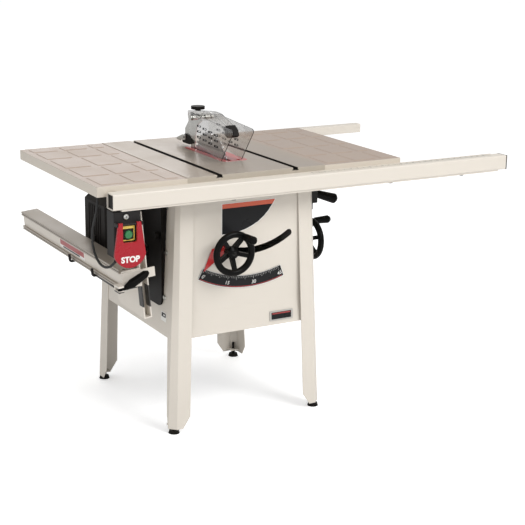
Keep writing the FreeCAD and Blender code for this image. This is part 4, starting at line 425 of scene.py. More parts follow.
# %% Blacks
black_moulding = finish("black_moulding", (0.009, 0.0075, 0.0065), 0.45, drift=0.2, shine=0.10,
                        rubbed=(0.04, 0.037, 0.034), pebble=1600, relief=0.00006, dust=0.06)
wheel_black = finish("wheel_black", (0.004, 0.0037, 0.0034), 0.3, drift=0.2, shine=0.09,
                     rubbed=(0.035, 0.033, 0.031), pebble=1200, relief=0.00003, dust=0.03)
grip_black = finish("grip_black", (0.004, 0.0037, 0.0034), 0.36, drift=0.15, shine=0.07,
                    rubbed=(0.03, 0.03, 0.03), pebble=2200, relief=0.00005, dust=0.01)
switch_grey = finish("switch_dark_grey", (0.020, 0.0185, 0.018), 0.45, drift=0.15, shine=0.15,
                     rubbed=(0.07, 0.068, 0.066), pebble=1800, relief=0.00005, dust=0.08)
black_enamel = finish("black_enamel", (0.010, 0.009, 0.008), 0.28, drift=0.15, shine=0.2,
                      rubbed=(0.20, 0.19, 0.18), pebble=500, relief=0.00002, dust=0.06)
dull_rubber = finish("dull_rubber", (0.018, 0.018, 0.018), 0.62, drift=0.2, pebble=2500,
                     relief=0.00006, dust=0.06)
print("six blacks")

# %% [markdown]
# Red marks what stops or what moves: the switch paddle is moulded in glossy red, the table insert
# and the tilt pointer are enamelled.  The start button is green, with a yellow surround.  The
# button and the printed pieces further down are all smooth, so they share one fine grain.

# %% Reds, green and yellow
SMOOTH = dict(pebble=1500, relief=SCRATCH)
paddle_red = finish("paddle_red", (0.34, 0.005, 0.014), 0.28, drift=0.05, shine=0.35,
                    rubbed=(0.48, 0.03, 0.045), pebble=1300, relief=0.00002, dust=0.03)
enamel_red = finish("red_enamel", (0.46, 0.02, 0.02), 0.3, drift=0.08, coat=0.3,
                    rubbed=(0.55, 0.18, 0.15), relief=0.00002, dust=0.14)
button_green = finish("button_green", (0.010, 0.17, 0.045), 0.25, coat=0.3, dust=0.0, **SMOOTH)
surround_yellow = finish("surround_yellow", (0.80, 0.58, 0.10), 0.35, coat=0.2, dust=0.0, **SMOOTH)
print("signal colours")

# %% [markdown]
# Castings under the table are painted grey over a sand texture.  Shafts, screws and the arbor are
# turned: their marks run round them, which is close to noise squeezed across the axis, so there
# is one turned steel for each axis.  Zinc plate is brighter and greener, and an aluminium
# extrusion is drawn along its length.

# %% Metals
casting = finish("painted_casting", (0.085, 0.088, 0.092), 0.5, drift=0.18, coat=0.1,
                 rubbed=(0.28, 0.28, 0.28), pebble=350, relief=0.00025, dust=0.35)
turned_x, turned_y, turned_z = (
    finish(f"turned_steel_{axis}", (0.52, 0.51, 0.50), 0.28, drift=0.1, metal=1.0, dust=0.08,
           stretch=stretch, **SMOOTH)
    for axis, stretch in (("x", (1.0, 0.05, 0.05)), ("y", (0.05, 1.0, 0.05)),
                          ("z", (0.05, 0.05, 1.0))))
zinc = finish("zinc_plate", (0.60, 0.60, 0.57), 0.32, drift=0.12, metal=1.0, pebble=600,
              relief=SCRATCH, clouds=30.0, dust=0.06)
bright = finish("bright_chrome", (0.75, 0.75, 0.76), 0.12, drift=0.04, metal=1.0,
                relief=0.000005, dust=0.0)
fence_metal = finish("drawn_aluminium", (0.42, 0.375, 0.325), 0.38, drift=0.08, metal=0.6,
                     stretch=(1.0, 0.03, 1.0), relief=SCRATCH, dust=0.12,
                     rubbed=(0.62, 0.58, 0.53))
motor_paint = finish("motor_paint", (0.05, 0.055, 0.06), 0.4, drift=0.12, coat=0.1,
                     rubbed=(0.22, 0.22, 0.22), pebble=500, relief=0.0001, dust=0.25)
print("metals")

# %% [markdown]
# A saw blade is ground on a turntable, so its fine marks are rings round the arbor.  A ring is
# where the distance from the centre is constant: the Object coordinates are moved to the arbor,
# measured with Length, and that single number drives the noise.

# %% Blade steel
blade_low, blade_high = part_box("saw_blade")
BLADE_CENTRE = (blade_low + blade_high) / 2
blade_steel, tree, shader = material_of("ringed_blade_steel", {"Metallic": 1.0})
spots = plant(tree, "ShaderNodeTexCoord").outputs["Object"]
reach = vector_sum(tree, "LENGTH", vector_sum(tree, "SUBTRACT", spots, BLADE_CENTRE))
rings = plant(tree, "ShaderNodeTexNoise", {"W": reach, "Scale": 2500.0, "Detail": 3.0},
              noise_dimensions="1D")
feed(shader, {"Base Color": blend(tree, rings, (0.40, 0.40, 0.41), (0.60, 0.60, 0.61)),
              "Roughness": ramp(tree, rings, 0.0, 1.0, 0.2, 0.42),
              "Normal": bumps(tree, rings, SCRATCH)})
print("blade centre", BLADE_CENTRE)

# %% [markdown]
# The guard is clear polycarbonate, moulded and a little scuffed.  Clear plastic is a Principled
# shader with full transmission and the index of the plastic; scuffs only make it rougher.  A
# trace of grey keeps its edges visible against a white room, as the real edges are.

# %% Clear polycarbonate
clear, tree, shader = material_of("clear_polycarbonate", {"Transmission Weight": 1.0,
                                                          "IOR": 1.58})
grain = plant(tree, "ShaderNodeGroup", {"Fineness": 500.0, "Cloud size": 45.0},
              node_tree=surface_grain).outputs
feed(shader, {"Base Color": blend(tree, grain["Tone"], (0.80, 0.785, 0.765), (0.95, 0.945, 0.935)),
              "Roughness": ramp(tree, grain["Tone"], 0.4, 0.7, 0.02, 0.10),
              "Normal": bumps(tree, grain["Height"], SCRATCH)})
print(clear.name)

# %% [markdown]
# Printing inks and plates: the tilt scale and the front plate are screen-printed sheet, so they
# are smooth, nearly flat in colour and a little glossy.  The tape and the badge are brushed metal.

# %% Inks and plates
BRUSHED = (0.05, 1.0, 1.0)
white_ink = finish("white_ink", (0.80, 0.79, 0.76), 0.4, drift=0.03, dust=0.0, **SMOOTH)
plate_black = finish("plate_black", (0.012, 0.012, 0.013), 0.3, drift=0.2, shine=0.15, dust=0.04,
                     **SMOOTH)
plate_orange = finish("plate_orange", (0.62, 0.085, 0.025), 0.3, drift=0.05, coat=0.3, dust=0.0,
                      **SMOOTH)
plate_silver = finish("plate_silver", (0.50, 0.48, 0.45), 0.35, drift=0.08, metal=0.7,
                      stretch=BRUSHED, relief=SCRATCH, dust=0.0)
label_red = finish("label_red", (0.33, 0.03, 0.03), 0.35, coat=0.2, dust=0.05, **SMOOTH)
tape_grey = finish("tape_steel", (0.62, 0.58, 0.51), 0.4, drift=0.05, metal=0.3, pebble=1200,
                   stretch=BRUSHED, relief=SCRATCH, dust=0.05)
mark_ink = finish("mark_ink", (0.06, 0.055, 0.05), 0.5, dust=0.0, **SMOOTH)
print("inks ready")

# %% [markdown]
# Every sub-part now gets the finish that its real counterpart has.  The list reads like a
# foreman's paint schedule; a part keeps its mesh, and only the material in its slot changes.

# %% Paint schedule
SCHEDULE = {
    cream: ("front_angle_rail front_tube_rail rear_angle_rail legs_front legs_rear front_panel "
            "rear_panel left_panel right_panel fence_body"),
    head_coat: "fence_head",
    ground_iron: "main_table",
    wing_enamel: "left_wing right_wing",
    enamel_red: "table_insert tilt_pointer",
    black_moulding: "rail_fittings levelling_feet dust_chute motor_cover guard_blocks",
    wheel_black: "raise_handwheel tilt_handwheel",
    grip_black: "raise_grip tilt_grip fence_lever gauge_handle",
    switch_grey: "switch_box",
    black_enamel: "switch_bracket storage_hooks gauge_head",
    dull_rubber: "drive_belt power_cord",
    paddle_red: "stop_paddle",
    button_green: "start_button",
    casting: "trunnion_brackets worm_bearings cradle_front cradle_rear saddle arbor_carriage",
    turned_x: "arbor motor_pulley tilt_shaft",
    turned_y: "raise_shaft gauge_bar",
    turned_z: "guide_bars lead_screw",
    zinc: "spreader guard_pivot kickback_pawls arbor_flange_nut",
    fence_metal: "fence_faces",
    motor_paint: "motor",
    blade_steel: "saw_blade",
    clear: "guard_spine guard_leaf_left guard_leaf_right",
    plate_black: "tilt_scale",
}
painted = set()
for material, names in SCHEDULE.items():
    for name in names.split():
        for place in nodes[name].material_slots:
            place.material = material
        painted.add(name)
print("painted", len(painted), "of", len(nodes), "left over:", sorted(set(nodes) - painted))

# %% [markdown]
# The lead from the switch box to the clip under the left wing is a rubber cable 8 mm across.  It
# has a real length, so it is a smooth NURBS line through the same points as the construction:
# down out of the gland, back below the wing in one lazy loop, and up to its clip.  A bevel gives
# the line its thickness.  Order 3 is set after the points, because before them it falls back to
# straight runs.

# %% The lead
CORD_RADIUS = 0.004
CORD_ROUTE = [(-0.512, -0.372, 0.640), (-0.521, -0.361, 0.620), (-0.530, -0.337, 0.609),
              (-0.535, -0.308, 0.610), (-0.538, -0.281, 0.624), (-0.540, -0.260, 0.648),
              (-0.540, -0.250, 0.679), (-0.540, -0.253, 0.711), (-0.539, -0.266, 0.742),
              (-0.537, -0.280, 0.772), (-0.535, -0.286, 0.803), (-0.532, -0.281, 0.833),
              (-0.530, -0.271, 0.858)]

lead_curve = bpy.data.curves.new("switch_lead", "CURVE")
lead_curve.dimensions = "3D"
lead_curve.bevel_depth = CORD_RADIUS
lead_curve.bevel_resolution = 6
lead_curve.resolution_u = 12
lead_curve.use_fill_caps = True
route = lead_curve.splines.new("NURBS")
route.points.add(len(CORD_ROUTE) - 1)
for point, place in zip(route.points, CORD_ROUTE):
    point.co = (*at(*place), 1)
route.order_u = 3
route.use_endpoint_u = True
lead_curve.materials.append(dull_rubber)
switch_lead = in_scene("switch_lead", lead_curve)
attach(switch_lead, "saw")
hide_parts("power_cord")
print("lead with", len(CORD_ROUTE), "points")

# %% [markdown]
# ## Printed plates, screws and marks
# Thin printed plates, tapes and labels are all the same thing: an outline cut out of sheet and
# laid on a surface.  One helper builds such a sheet from its outline and two directions, so its
# place is in its mesh from the start.  Outlines run anticlockwise as seen from outside.

# %% A helper for thin plates
X, Y, Z = Vector((1, 0, 0)), Vector((0, 1, 0)), Vector((0, 0, 1))
FILM, FOIL, PRINT = 0.0002, 0.0003, 0.0005  # thicknesses of what is printed or stuck on


def settle(name, mesh, material, body):
    """Put a finished mesh in the scene, give it its material and let it ride on its body."""
    if material:
        mesh.materials.clear()
        mesh.materials.append(material)
    piece = in_scene(name, mesh)
    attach(piece, body)
    return piece


def plate(name, outline, corner, right, up, thick, material, body="saw", slot="scale_black"):
    """A sheet whose outline is given in metres to the right of a corner and up from it."""
    outward = right.cross(up).normalized() * thick
    back = [corner + right * across + up * rise for across, rise in outline]
    count = len(back)
    rim = [(i, (i + 1) % count, (i + 1) % count + count, i + count) for i in range(count)]
    mesh = bpy.data.meshes.new(name)
    mesh.from_pydata(back + [point + outward for point in back], [],
                     [range(count, 2 * count), range(count - 1, -1, -1), *rim])
    return settle(name, mesh, material, body)


def oblong(wide, high, round_off=0.0, steps=4):
    """The outline of a rectangle from its lower left corner, with rounded corners."""
    if not round_off:
        return [(0, 0), (wide, 0), (wide, high), (0, high)]
    points = []
    far, top = wide - round_off, high - round_off
    for cx, cy, start in ((far, round_off, -90), (far, top, 0), (round_off, top, 90),
                          (round_off, round_off, 180)):
        for i in range(steps + 1):
            turn = math.radians(start + 90 * i / steps)
            points.append((cx + round_off * math.cos(turn), cy + round_off * math.sin(turn)))
    return points


def label(corner, right, up, layers, **riding):
    """Rectangles laid on one face: name, size, shift to the right and up, thickness, material."""
    for name, size, (across, rise), thick, material in layers:
        plate(name, oblong(*size), corner + right * across + up * rise, right, up, thick,
              material, **riding)


print("plates can be cut")

# %% [markdown]
# Numbers on a scale and the word on the switch are Blender text.  A text object is turned into a
# mesh first and moved afterwards, item by item of the list, so that a whole row of numbers
# becomes one piece with its place in its mesh.

# %% A helper for lettering
def lettering(name, items, size, material, body="saw", bold=0.0, slant=0.0):
    """One mesh from (text, middle, right, up) items; size is the height of a line in metres."""
    joined = bmesh.new()
    for text, middle, right, up in items:
        letters = bpy.data.curves.new(name, "FONT")
        letters.body = text
        letters.size = size
        letters.align_x, letters.align_y = "CENTER", "CENTER"
        letters.extrude = 0.0001
        letters.offset = bold * size
        letters.shear = slant
        letters.resolution_u = 4
        holder = bpy.data.objects.new(name, letters)
        mesh = bpy.data.meshes.new_from_object(holder)
        turn = Matrix((right, up, right.cross(up))).transposed().to_4x4()
        mesh.transform(Matrix.Translation(middle) @ turn)
        joined.from_mesh(mesh)
        bpy.data.objects.remove(holder)
        bpy.data.meshes.remove(mesh)
    mesh = bpy.data.meshes.new(name)
    joined.to_mesh(mesh)
    joined.free()
    return settle(name, mesh, material, body)


print("lettering ready")

# %% [markdown]
# Screws, ticks and saw teeth repeat, so Geometry Nodes place them.  A recipe holds one tree with
# its named inputs, and short ways to add to it; it ends by making its copies real and giving them
# their material.  `grow` runs a recipe on a mesh that holds only the places, and keeps the result
# as plain mesh.  A modifier finds an input by the socket's identifier, so the name is looked up
# in the tree's interface first.

# %% Helpers for Geometry Nodes
class Recipe:
    """A Geometry Nodes tree that makes one kind of repeated piece."""

    def __init__(self, name, inputs):
        self.tree = bpy.data.node_groups.new(name, "GeometryNodeTree")
        for end, way in (("Places", "INPUT"), ("Result", "OUTPUT")):
            self.tree.interface.new_socket(name=end, in_out=way,
                                           socket_type="NodeSocketGeometry")
        self.given, self.result = open_ends(self.tree, inputs, {})

    def add(self, kind, inputs=None, **options):
        return plant(self.tree, kind, inputs, **options)

    def sum(self, kind, *values):
        return sum_of(self.tree, kind, *values)

    def vector(self, x=0.0, y=0.0, z=0.0):
        return self.add("ShaderNodeCombineXYZ", {"X": x, "Y": y, "Z": z})

    def block(self, size):
        return self.add("GeometryNodeMeshCube", {"Size": size})

    def shifted(self, shape, by, **turn):
        return self.add("GeometryNodeTransform", {"Geometry": shape, "Translation": by, **turn})

    def turn_by(self, angles):
        return self.add("FunctionNodeEulerToRotation", {"Euler": angles})

    def joined(self, *meshes):
        """Several meshes as one."""
        join = self.add("GeometryNodeJoinGeometry")
        for mesh in meshes:
            feed(join, {"Geometry": mesh})
        return join

    def row(self, count, offset, start):
        """A row of points, each moved to its own offset from a start."""
        there = vector_sum(self.tree, "ADD", offset, start)
        return self.add("GeometryNodeSetPosition", {
            "Geometry": self.add("GeometryNodeMeshLine", {"Count": count}), "Position": there})

    def copies(self, shape, places, **turn_or_size):
        """A copy of a shape on every place."""
        return self.add("GeometryNodeInstanceOnPoints", {"Points": places, "Instance": shape,
                                                         **turn_or_size})

    def deliver(self, *batches):
        """End the tree: each batch of copies is made real and given its material."""
        feed(self.result, {"Result": self.joined(*(self.add("GeometryNodeSetMaterial", {
            "Geometry": self.add("GeometryNodeRealizeInstances", {"Geometry": copies}),
            "Material": material}) for copies, material in batches))})


def grow(name, recipe, sizes, body, places=((0, 0, 0),)):
    """Run a recipe on a cloud of places and keep what it makes as one plain mesh."""
    cloud = bpy.data.meshes.new(name + "_places")
    cloud.from_pydata([tuple(place) for place in places], [], [])
    holder = in_scene(name + "_places", cloud)
    modifier = holder.modifiers.new("grow", "NODES")
    modifier.node_group = recipe.tree
    for socket in recipe.tree.interface.items_tree:
        if socket.in_out == "INPUT" and socket.name in sizes:
            modifier[socket.identifier] = sizes[socket.name]
    view = bpy.context.evaluated_depsgraph_get()
    mesh = bpy.data.meshes.new_from_object(holder.evaluated_get(view))
    bpy.data.objects.remove(holder)
    print(name, len(mesh.polygons), "faces")
    return settle(name, mesh, None, body)


print("growing ready")

# %% [markdown]
# Hexagon bolts with a washer join the sheet metal.  Each is two cylinders, the head with only six
# sides, instanced on the places with a turn that points its axis out of the surface.

# %% Hexagon bolts
hex_bolts = Recipe("hex_bolts", {"Head radius": 0.0065, "Head height": 0.004,
                                 "Facing": (0, 0, 0), "Metal": zinc})
given = hex_bolts.given
washer = hex_bolts.add("GeometryNodeMeshCylinder", {
    "Vertices": 20, "Depth": 0.0015,
    "Radius": hex_bolts.sum("MULTIPLY", given["Head radius"], 1.45)})
head = hex_bolts.add("GeometryNodeMeshCylinder", {
    "Vertices": 6, "Radius": given["Head radius"], "Depth": given["Head height"]})
rise = hex_bolts.vector(z=hex_bolts.sum("MULTIPLY_ADD", given["Head height"], 0.5, 0.0007))
bolts = hex_bolts.copies(hex_bolts.joined(washer, hex_bolts.shifted(head, rise)),
                         given["Places"], Rotation=hex_bolts.turn_by(given["Facing"]))
hex_bolts.deliver((bolts, given["Metal"]))
print("hexagon bolts ready")

# %% [markdown]
# Pan-head screws hold small fittings.  A low cone makes the head, and two thin dark bars laid
# across each other stand for the cross in it.  The heads and the crosses have different
# materials, so they are two batches on the same places.

# %% Pan-head screws
pan_screws = Recipe("pan_screws", {"Head radius": 0.004, "Head height": 0.002,
                                   "Facing": (0, 0, 0)})
given = pan_screws.given
head = pan_screws.add("GeometryNodeMeshCone", {
    "Vertices": 20, "Radius Bottom": given["Head radius"], "Depth": given["Head height"],
    "Radius Top": pan_screws.sum("MULTIPLY", given["Head radius"], 0.7)})
long, slim = given["Head radius"], pan_screws.sum("MULTIPLY", given["Head radius"], 0.22)
lift = pan_screws.vector(z=given["Head height"])
bars = [pan_screws.shifted(pan_screws.block(pan_screws.vector(*sides, FOIL)), lift)
        for sides in ((long, slim), (slim, long))]
turned = pan_screws.turn_by(given["Facing"])
heads, crosses = (pan_screws.copies(shape, given["Places"], Rotation=turned)
                  for shape in (head, pan_screws.joined(*bars)))
pan_screws.deliver((heads, zinc), (crosses, mark_ink))
print("pan-head screws ready")

# %% [markdown]
# A screw must sit on the surface, neither floating nor sunk.  The surface is already there as a
# mesh, so a ray shot at it from outside tells where it is, and no depth has to be guessed.  Two
# rays, one above the other, also tell which way a leaning surface leans.

# %% Find a surface
FAR = 1.5
skins = {}


def surface(node, start, way):
    """Where a ray from `start` along `way` first meets a sub-part."""
    if node not in skins:
        mesh = nodes[node].data
        skins[node] = BVHTree.FromPolygons([vertex.co for vertex in mesh.vertices],
                                           [face.vertices for face in mesh.polygons])
    hit = skins[node].ray_cast(start, way)[0]
    if hit is None:
        raise ValueError(f"no surface of {node} from {start}")
    return hit


def from_front(node, x, z):
    return surface(node, at(x, -FAR, z), Y)


def from_back(node, x, z):
    return surface(node, at(x, FAR, z), -Y)


def from_left(node, y, z):
    return surface(node, at(-FAR, y, z), X)


def from_right(node, y, z):
    return surface(node, at(FAR, y, z), -X)


def slope(side, node, along, low, high):
    """The point of a face at the lower of two heights, and the way up the face from it."""
    bottom = side(node, along, low)
    return bottom, (side(node, along, high) - bottom).normalized()


FRONTWARDS, BACKWARDS = (math.pi / 2, 0, 0), (-math.pi / 2, 0, 0)
LEFTWARDS, RIGHTWARDS = (0, -math.pi / 2, 0), (0, math.pi / 2, 0)
print("surfaces can be found")

# %% [markdown]
# Hexagon bolts clamp the side and rear panels to the legs, and the rear rail to the table.  They
# stand in vertical rows a little inside the legs' edges, three to a row.  The motor cover hides
# the left rear corner, so only the lowest bolt is set there, behind the cover.

# %% Bolts of the stand and the rear rail
LEVELS, ENDS = (0.45, 0.60, 0.75), (-0.225, 0.225)
CORNER_LIMIT = 0.5  # at the left rear, only what is below this height
rail_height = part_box("rear_angle_rail")[0].z + 0.014
STAND_BOLTS = {
    "left_panel_bolts": (LEFTWARDS, [from_left("left_panel", y, z) for y in ENDS
                                     for z in LEVELS if y < 0 or z < CORNER_LIMIT]),
    "right_panel_bolts": (RIGHTWARDS, [from_right("right_panel", y, z) for y in ENDS
                                       for z in LEVELS]),
    "rear_panel_bolts": (BACKWARDS, [from_back("rear_panel", x, z) for x in (-0.185, 0.161)
                                     for z in LEVELS]),
    "rear_rail_bolts": (BACKWARDS, [from_back("rear_angle_rail", x, rail_height)
                                    for x in (-0.40, -0.20, 0.0, 0.20, 0.40)]),
}
for name, (facing, places) in STAND_BOLTS.items():
    grow(name, hex_bolts, {"Facing": facing}, "saw", places)

# %% [markdown]
# The tilt scale is a curved black plate with a white rim, a mark for every degree and a number
# every fifteen.  The marks follow a rule: each lies on a circle about the tilt axis, one step
# further on, and every fifth is longer.  In the tree the index of a point gives its angle, and
# sine and cosine give its place.  A mark itself is a cube of one metre, scaled to its own size.

# %% Marks of the tilt scale
SCALE_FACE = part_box("tilt_scale")[0].y
FIRST_ANGLE = -27.4
TILT_AXIS = at(0, 0, TABLE_TOP)


def long_and_short(recipe, every):
    """The index of each mark and its length: Long for one of every so many, otherwise Short."""
    index, given = recipe.add("GeometryNodeInputIndex"), recipe.given
    chosen = recipe.sum("LESS_THAN", recipe.sum("MODULO", index, float(every)), 0.5)
    extra = recipe.sum("SUBTRACT", given["Long"], given["Short"])
    return index, recipe.sum("MULTIPLY_ADD", chosen, extra, given["Short"])


METRE_CUBE = (1.0, 1.0, 1.0)
arc_marks = Recipe("arc_marks", {
    "Count": 46, "First angle": math.radians(FIRST_ANGLE), "Step": math.radians(1.0),
    "Inner reach": 0.3635, "Width": 0.0007, "Short": 0.006, "Long": 0.011, "Axis": (0, 0, 0)})
given, total = arc_marks.given, arc_marks.sum
index, length = long_and_short(arc_marks, every=5)
angle = total("MULTIPLY_ADD", index, given["Step"], given["First angle"])
reach = total("MULTIPLY_ADD", length, 0.5, given["Inner reach"])
across = total("MULTIPLY", reach, total("SINE", angle))
down = total("MULTIPLY", reach, total("COSINE", angle))
offset = arc_marks.vector(x=across, z=total("MULTIPLY", down, -1.0))
lean = arc_marks.vector(y=total("MULTIPLY", angle, -1.0))
marks = arc_marks.copies(
    arc_marks.block(METRE_CUBE), arc_marks.row(given["Count"], offset, given["Axis"]),
    Rotation=arc_marks.turn_by(lean), Scale=arc_marks.vector(given["Width"], FILM, length))
arc_marks.deliver((marks, white_ink))
grow("tilt_scale_marks", arc_marks, {"Axis": (TILT_AXIS.x, SCALE_FACE, TILT_AXIS.z)}, "saw")

# %% [markdown]
# Numbers stand upright to the reader's eye only if each one is turned with the plate, so every
# number gets its own "up", which points at the tilt axis.  The nought moves a little inwards to
# clear the rim.

# %% Numbers of the tilt scale
NUMBER_REACH, NUMBER_SIZE, NOUGHT_SHIFT = 0.3865, 0.017, 0.8  # metres, metres, degrees


def round_axis(reach, degrees):
    """A point on the plate at a reach from the tilt axis and an angle from straight down."""
    turn = math.radians(degrees)
    return Vector((TILT_AXIS.x + reach * math.sin(turn), SCALE_FACE,
                   TILT_AXIS.z - reach * math.cos(turn)))


numbers = []
for number in (0, 15, 30, 45):
    degrees = FIRST_ANGLE + number
    upward = (TILT_AXIS - round_axis(1.0, degrees)) * Vector((1, 0, 1))
    upward.normalize()
    middle = round_axis(NUMBER_REACH, degrees + (0 if number else NOUGHT_SHIFT))
    numbers.append((str(number), middle, Vector((upward.z, 0, -upward.x)), upward))
lettering("tilt_scale_numbers", numbers, NUMBER_SIZE, white_ink, bold=0.01, slant=0.15)
print("numbers", [text for text, *_ in numbers])

# %% [markdown]
# The rim of the scale and its red line are bands cut between two circles about the same axis.
# The rim is four of them: two long and thin, and two short ones that close the ends.

# %% Rim of the tilt scale
LOW_REACH, HIGH_REACH = 0.4005, 0.3612  # the inside of the rim, from the tilt axis
RIM = {  # inner and outer reach, first and last angle, thickness, material, steps
    "scale_rim_low": (LOW_REACH, 0.4022, -28.4, 19.4, FILM, white_ink, 40),
    "scale_rim_high": (0.3600, HIGH_REACH, -28.4, 19.4, FILM, white_ink, 40),
    "scale_rim_left": (HIGH_REACH, LOW_REACH, -28.5, -28.25, FILM, white_ink, 2),
    "scale_rim_right": (HIGH_REACH, LOW_REACH, 19.25, 19.5, FILM, white_ink, 2),
    "scale_red_line": (0.3965, 0.3990, -27.6, 18.6, 0.00015, label_red, 40),
}
for name, (inner, outer, start, stop, thick, material, steps) in RIM.items():
    angles = [start + (stop - start) * i / steps for i in range(steps + 1)]
    outline = [round_axis(outer, a) for a in angles] + [round_axis(inner, a) for a in angles[::-1]]
    plate(name, [(point.x, point.z) for point in outline], Vector((0, SCALE_FACE, 0)), X, Z,
          thick, material)
print("tilt scale printed")

# %% [markdown]
# The plate on the front is a two-tone print: an orange band on top of a black field whose lower
# right edge sweeps down in a curve, with a narrow white rim.  It stays bare, because what was
# printed there was a maker's matter.  The rim is the same outline, grown a little and laid under.

# %% Front plate
LEFT_END, TOP_EDGE, FIELD_TOP, BAND_FOOT = -0.102, 0.757, 0.744, 0.742
RIM_WIDE = 0.002
corner = at(0, 0, 0)
corner.y = from_front("front_panel", 0.03, 0.70).y
sweep = [(LEFT_END, 0.656), (-0.070, 0.6565), (-0.039, 0.660), (-0.015, 0.666), (0.010, 0.6755),
         (0.032, 0.687), (0.053, 0.7025), (0.070, 0.720), (0.084, 0.7385), (0.088, FIELD_TOP)]
top = [(0.096, TOP_EDGE), (LEFT_END, TOP_EDGE)]


def grown(outline, margin):
    """An outline pushed out by a margin, corner by corner, along the mean of its two edges."""
    pushed = []
    for i, here in enumerate(outline):
        before, after = Vector(outline[i - 1]), Vector(outline[(i + 1) % len(outline)])
        here = Vector(here)
        first = (here - before).normalized()
        second = (after - here).normalized()
        outward = Vector((first.y + second.y, -first.x - second.x))
        pushed.append(here + outward * margin / (1 + first.dot(second)))
    return [tuple(point) for point in pushed]


plate("front_plate_rim", grown(sweep + top, RIM_WIDE), corner, X, Z, FOIL, white_ink)
plate("front_plate_field", sweep + [(LEFT_END, FIELD_TOP)], corner, X, Z, PRINT, plate_black)
plate("front_plate_band", [(LEFT_END, BAND_FOOT), (0.0868, BAND_FOOT), *top], corner, X, Z, 0.0006,
      plate_orange)
print("front plate on the face at", corner.y)

# %% [markdown]
# Low on the apron sits a small cast badge: a silver frame round a dark inset, here left bare.
# The apron flares out towards its lower edge, so the badge leans with it.  The small plate on the
# left panel and the label on the fence are laid in the same way, each on its own slope.

# %% Badge, side plate and fence label
BADGE_THICK = 0.0025
low_point, leaning = slope(from_front, "front_panel", 0.12, 0.334, 0.367)
corner = Vector((at(0.079, 0, 0).x, low_point.y, low_point.z))
label(corner, X, leaning, [
    ("badge_frame", (0.091, 0.034, 0.003), (0, 0), BADGE_THICK, plate_silver)], slot="zinc_steel")
label(corner + X.cross(leaning) * (BADGE_THICK + 0.0001), X, leaning, [
    ("badge_inset", (0.077, 0.024, 0.001), (0.007, 0.005), FOIL, plate_black),
    ("badge_bar", (0.070, 0.0045), (0.0105, 0.0225), PRINT, label_red)])

corner, leaning = slope(from_left, "left_panel", -0.204, 0.368, 0.399)
label(corner, -Y, leaning, [
    ("side_plate", (0.037, 0.031, 0.002), (0, 0), 0.0004, white_ink),
    ("side_plate_field", (0.031, 0.014), (0.003, 0.014), 0.0006, plate_black),
    ("side_plate_tick", (0.012, 0.005), (0.016, 0.0185), 0.0008, white_ink)])

low_point, leaning = slope(from_left, "fence_body", 0.10, 0.545, 0.572)
corner = Vector((low_point.x, at(0, 0.222, 0).y, low_point.z)) - leaning * 0.004
label(corner, -Y, leaning, [
    ("fence_label", (0.225, 0.031, 0.002), (0, 0), FOIL, white_ink),
    ("fence_label_field", (0.217, 0.018), (0.004, 0.010), PRINT, label_red),
    ("fence_label_bar", (0.150, 0.005), (0.030, 0.003), PRINT, plate_black)], body="fence")
print("badge, side plate and fence label laid")

# %% [markdown]
# The fence is stored lying on its side, so one of its long faces looks up.  The slots along that
# face are closed by a flat strip, held from two points of the face so that it leans with it.

# %% Strip over the fence's upper face
STRIP_WIDE, FROM_THE_ENDS = 0.0575, 0.0005
faces_low, faces_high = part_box("fence_faces")
near, far = (surface("fence_faces", at(x, 0.10, FAR), -Z) for x in (-0.474, -0.420))
across = (far - near).normalized()
corner = Vector((near.x, faces_low.y + FROM_THE_ENDS, near.z)) - across * 0.003
length = faces_high.y - faces_low.y - 2 * FROM_THE_ENDS
plate("fence_strip", oblong(STRIP_WIDE, length), corner, across, Y, 0.0004, fence_metal,
      body="fence", slot="fence_face")
print("strip", round(length, 3), "m long")

# %% [markdown]
# A measuring tape is stuck along the top of the front rail.  Its marks are the same kind of rule
# as the tilt scale's, but on a straight line: a mark every quarter inch, longer every inch, with
# a number beside each full inch.

# %% Rail tape
INCH = 0.0254
TAPE_START, TAPE_STOP, TAPE_WIDE, TAPE_THICK = 0.187, 0.930, 0.019, 0.0004
TAPE_FRONT, FIRST_MARK, NUMBERS_UP, DIGIT_SIZE, FIRST_NUMBER = -0.376, 0.004, 0.0135, 0.0075, 4
line_marks = Recipe("line_marks", {"Count": 10, "Step": INCH / 4, "Width": 0.0007,
                                   "Short": 0.005, "Long": 0.010, "Start": (0, 0, 0)})
given = line_marks.given
index, length = long_and_short(line_marks, every=4)
offset = line_marks.vector(line_marks.sum("MULTIPLY", index, given["Step"]),
                           line_marks.sum("MULTIPLY", length, 0.5))
marks = line_marks.copies(
    line_marks.block(METRE_CUBE), line_marks.row(given["Count"], offset, given["Start"]),
    Scale=line_marks.vector(given["Width"], length, FILM))
line_marks.deliver((marks, mark_ink))

corner = at(TAPE_START, TAPE_FRONT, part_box("front_tube_rail")[1].z - 0.0001)
plate("rail_tape", oblong(TAPE_STOP - TAPE_START, TAPE_WIDE), corner, X, Y, TAPE_THICK, tape_grey,
      slot="bare_steel")
inches = int((TAPE_STOP - TAPE_START) / INCH)
start = corner + X * FIRST_MARK + Z * TAPE_THICK
grow("rail_tape_marks", line_marks, {"Count": 4 * inches - 3, "Start": tuple(start)}, "saw")
numbers = [(str(i + FIRST_NUMBER), start + X * (i * INCH) + Y * NUMBERS_UP, X, Y)
           for i in range(inches)]
lettering("rail_tape_numbers", numbers, DIGIT_SIZE, mark_ink, bold=0.01)

# %% [markdown]
# The switch needs three touches.  A yellow surround frames the green button, a zinc-plated screw
# holds the box, and the paddle carries its word in white.  The surround is four bars round an
# opening: a frame needs no hole in its outline if it is laid as bars.

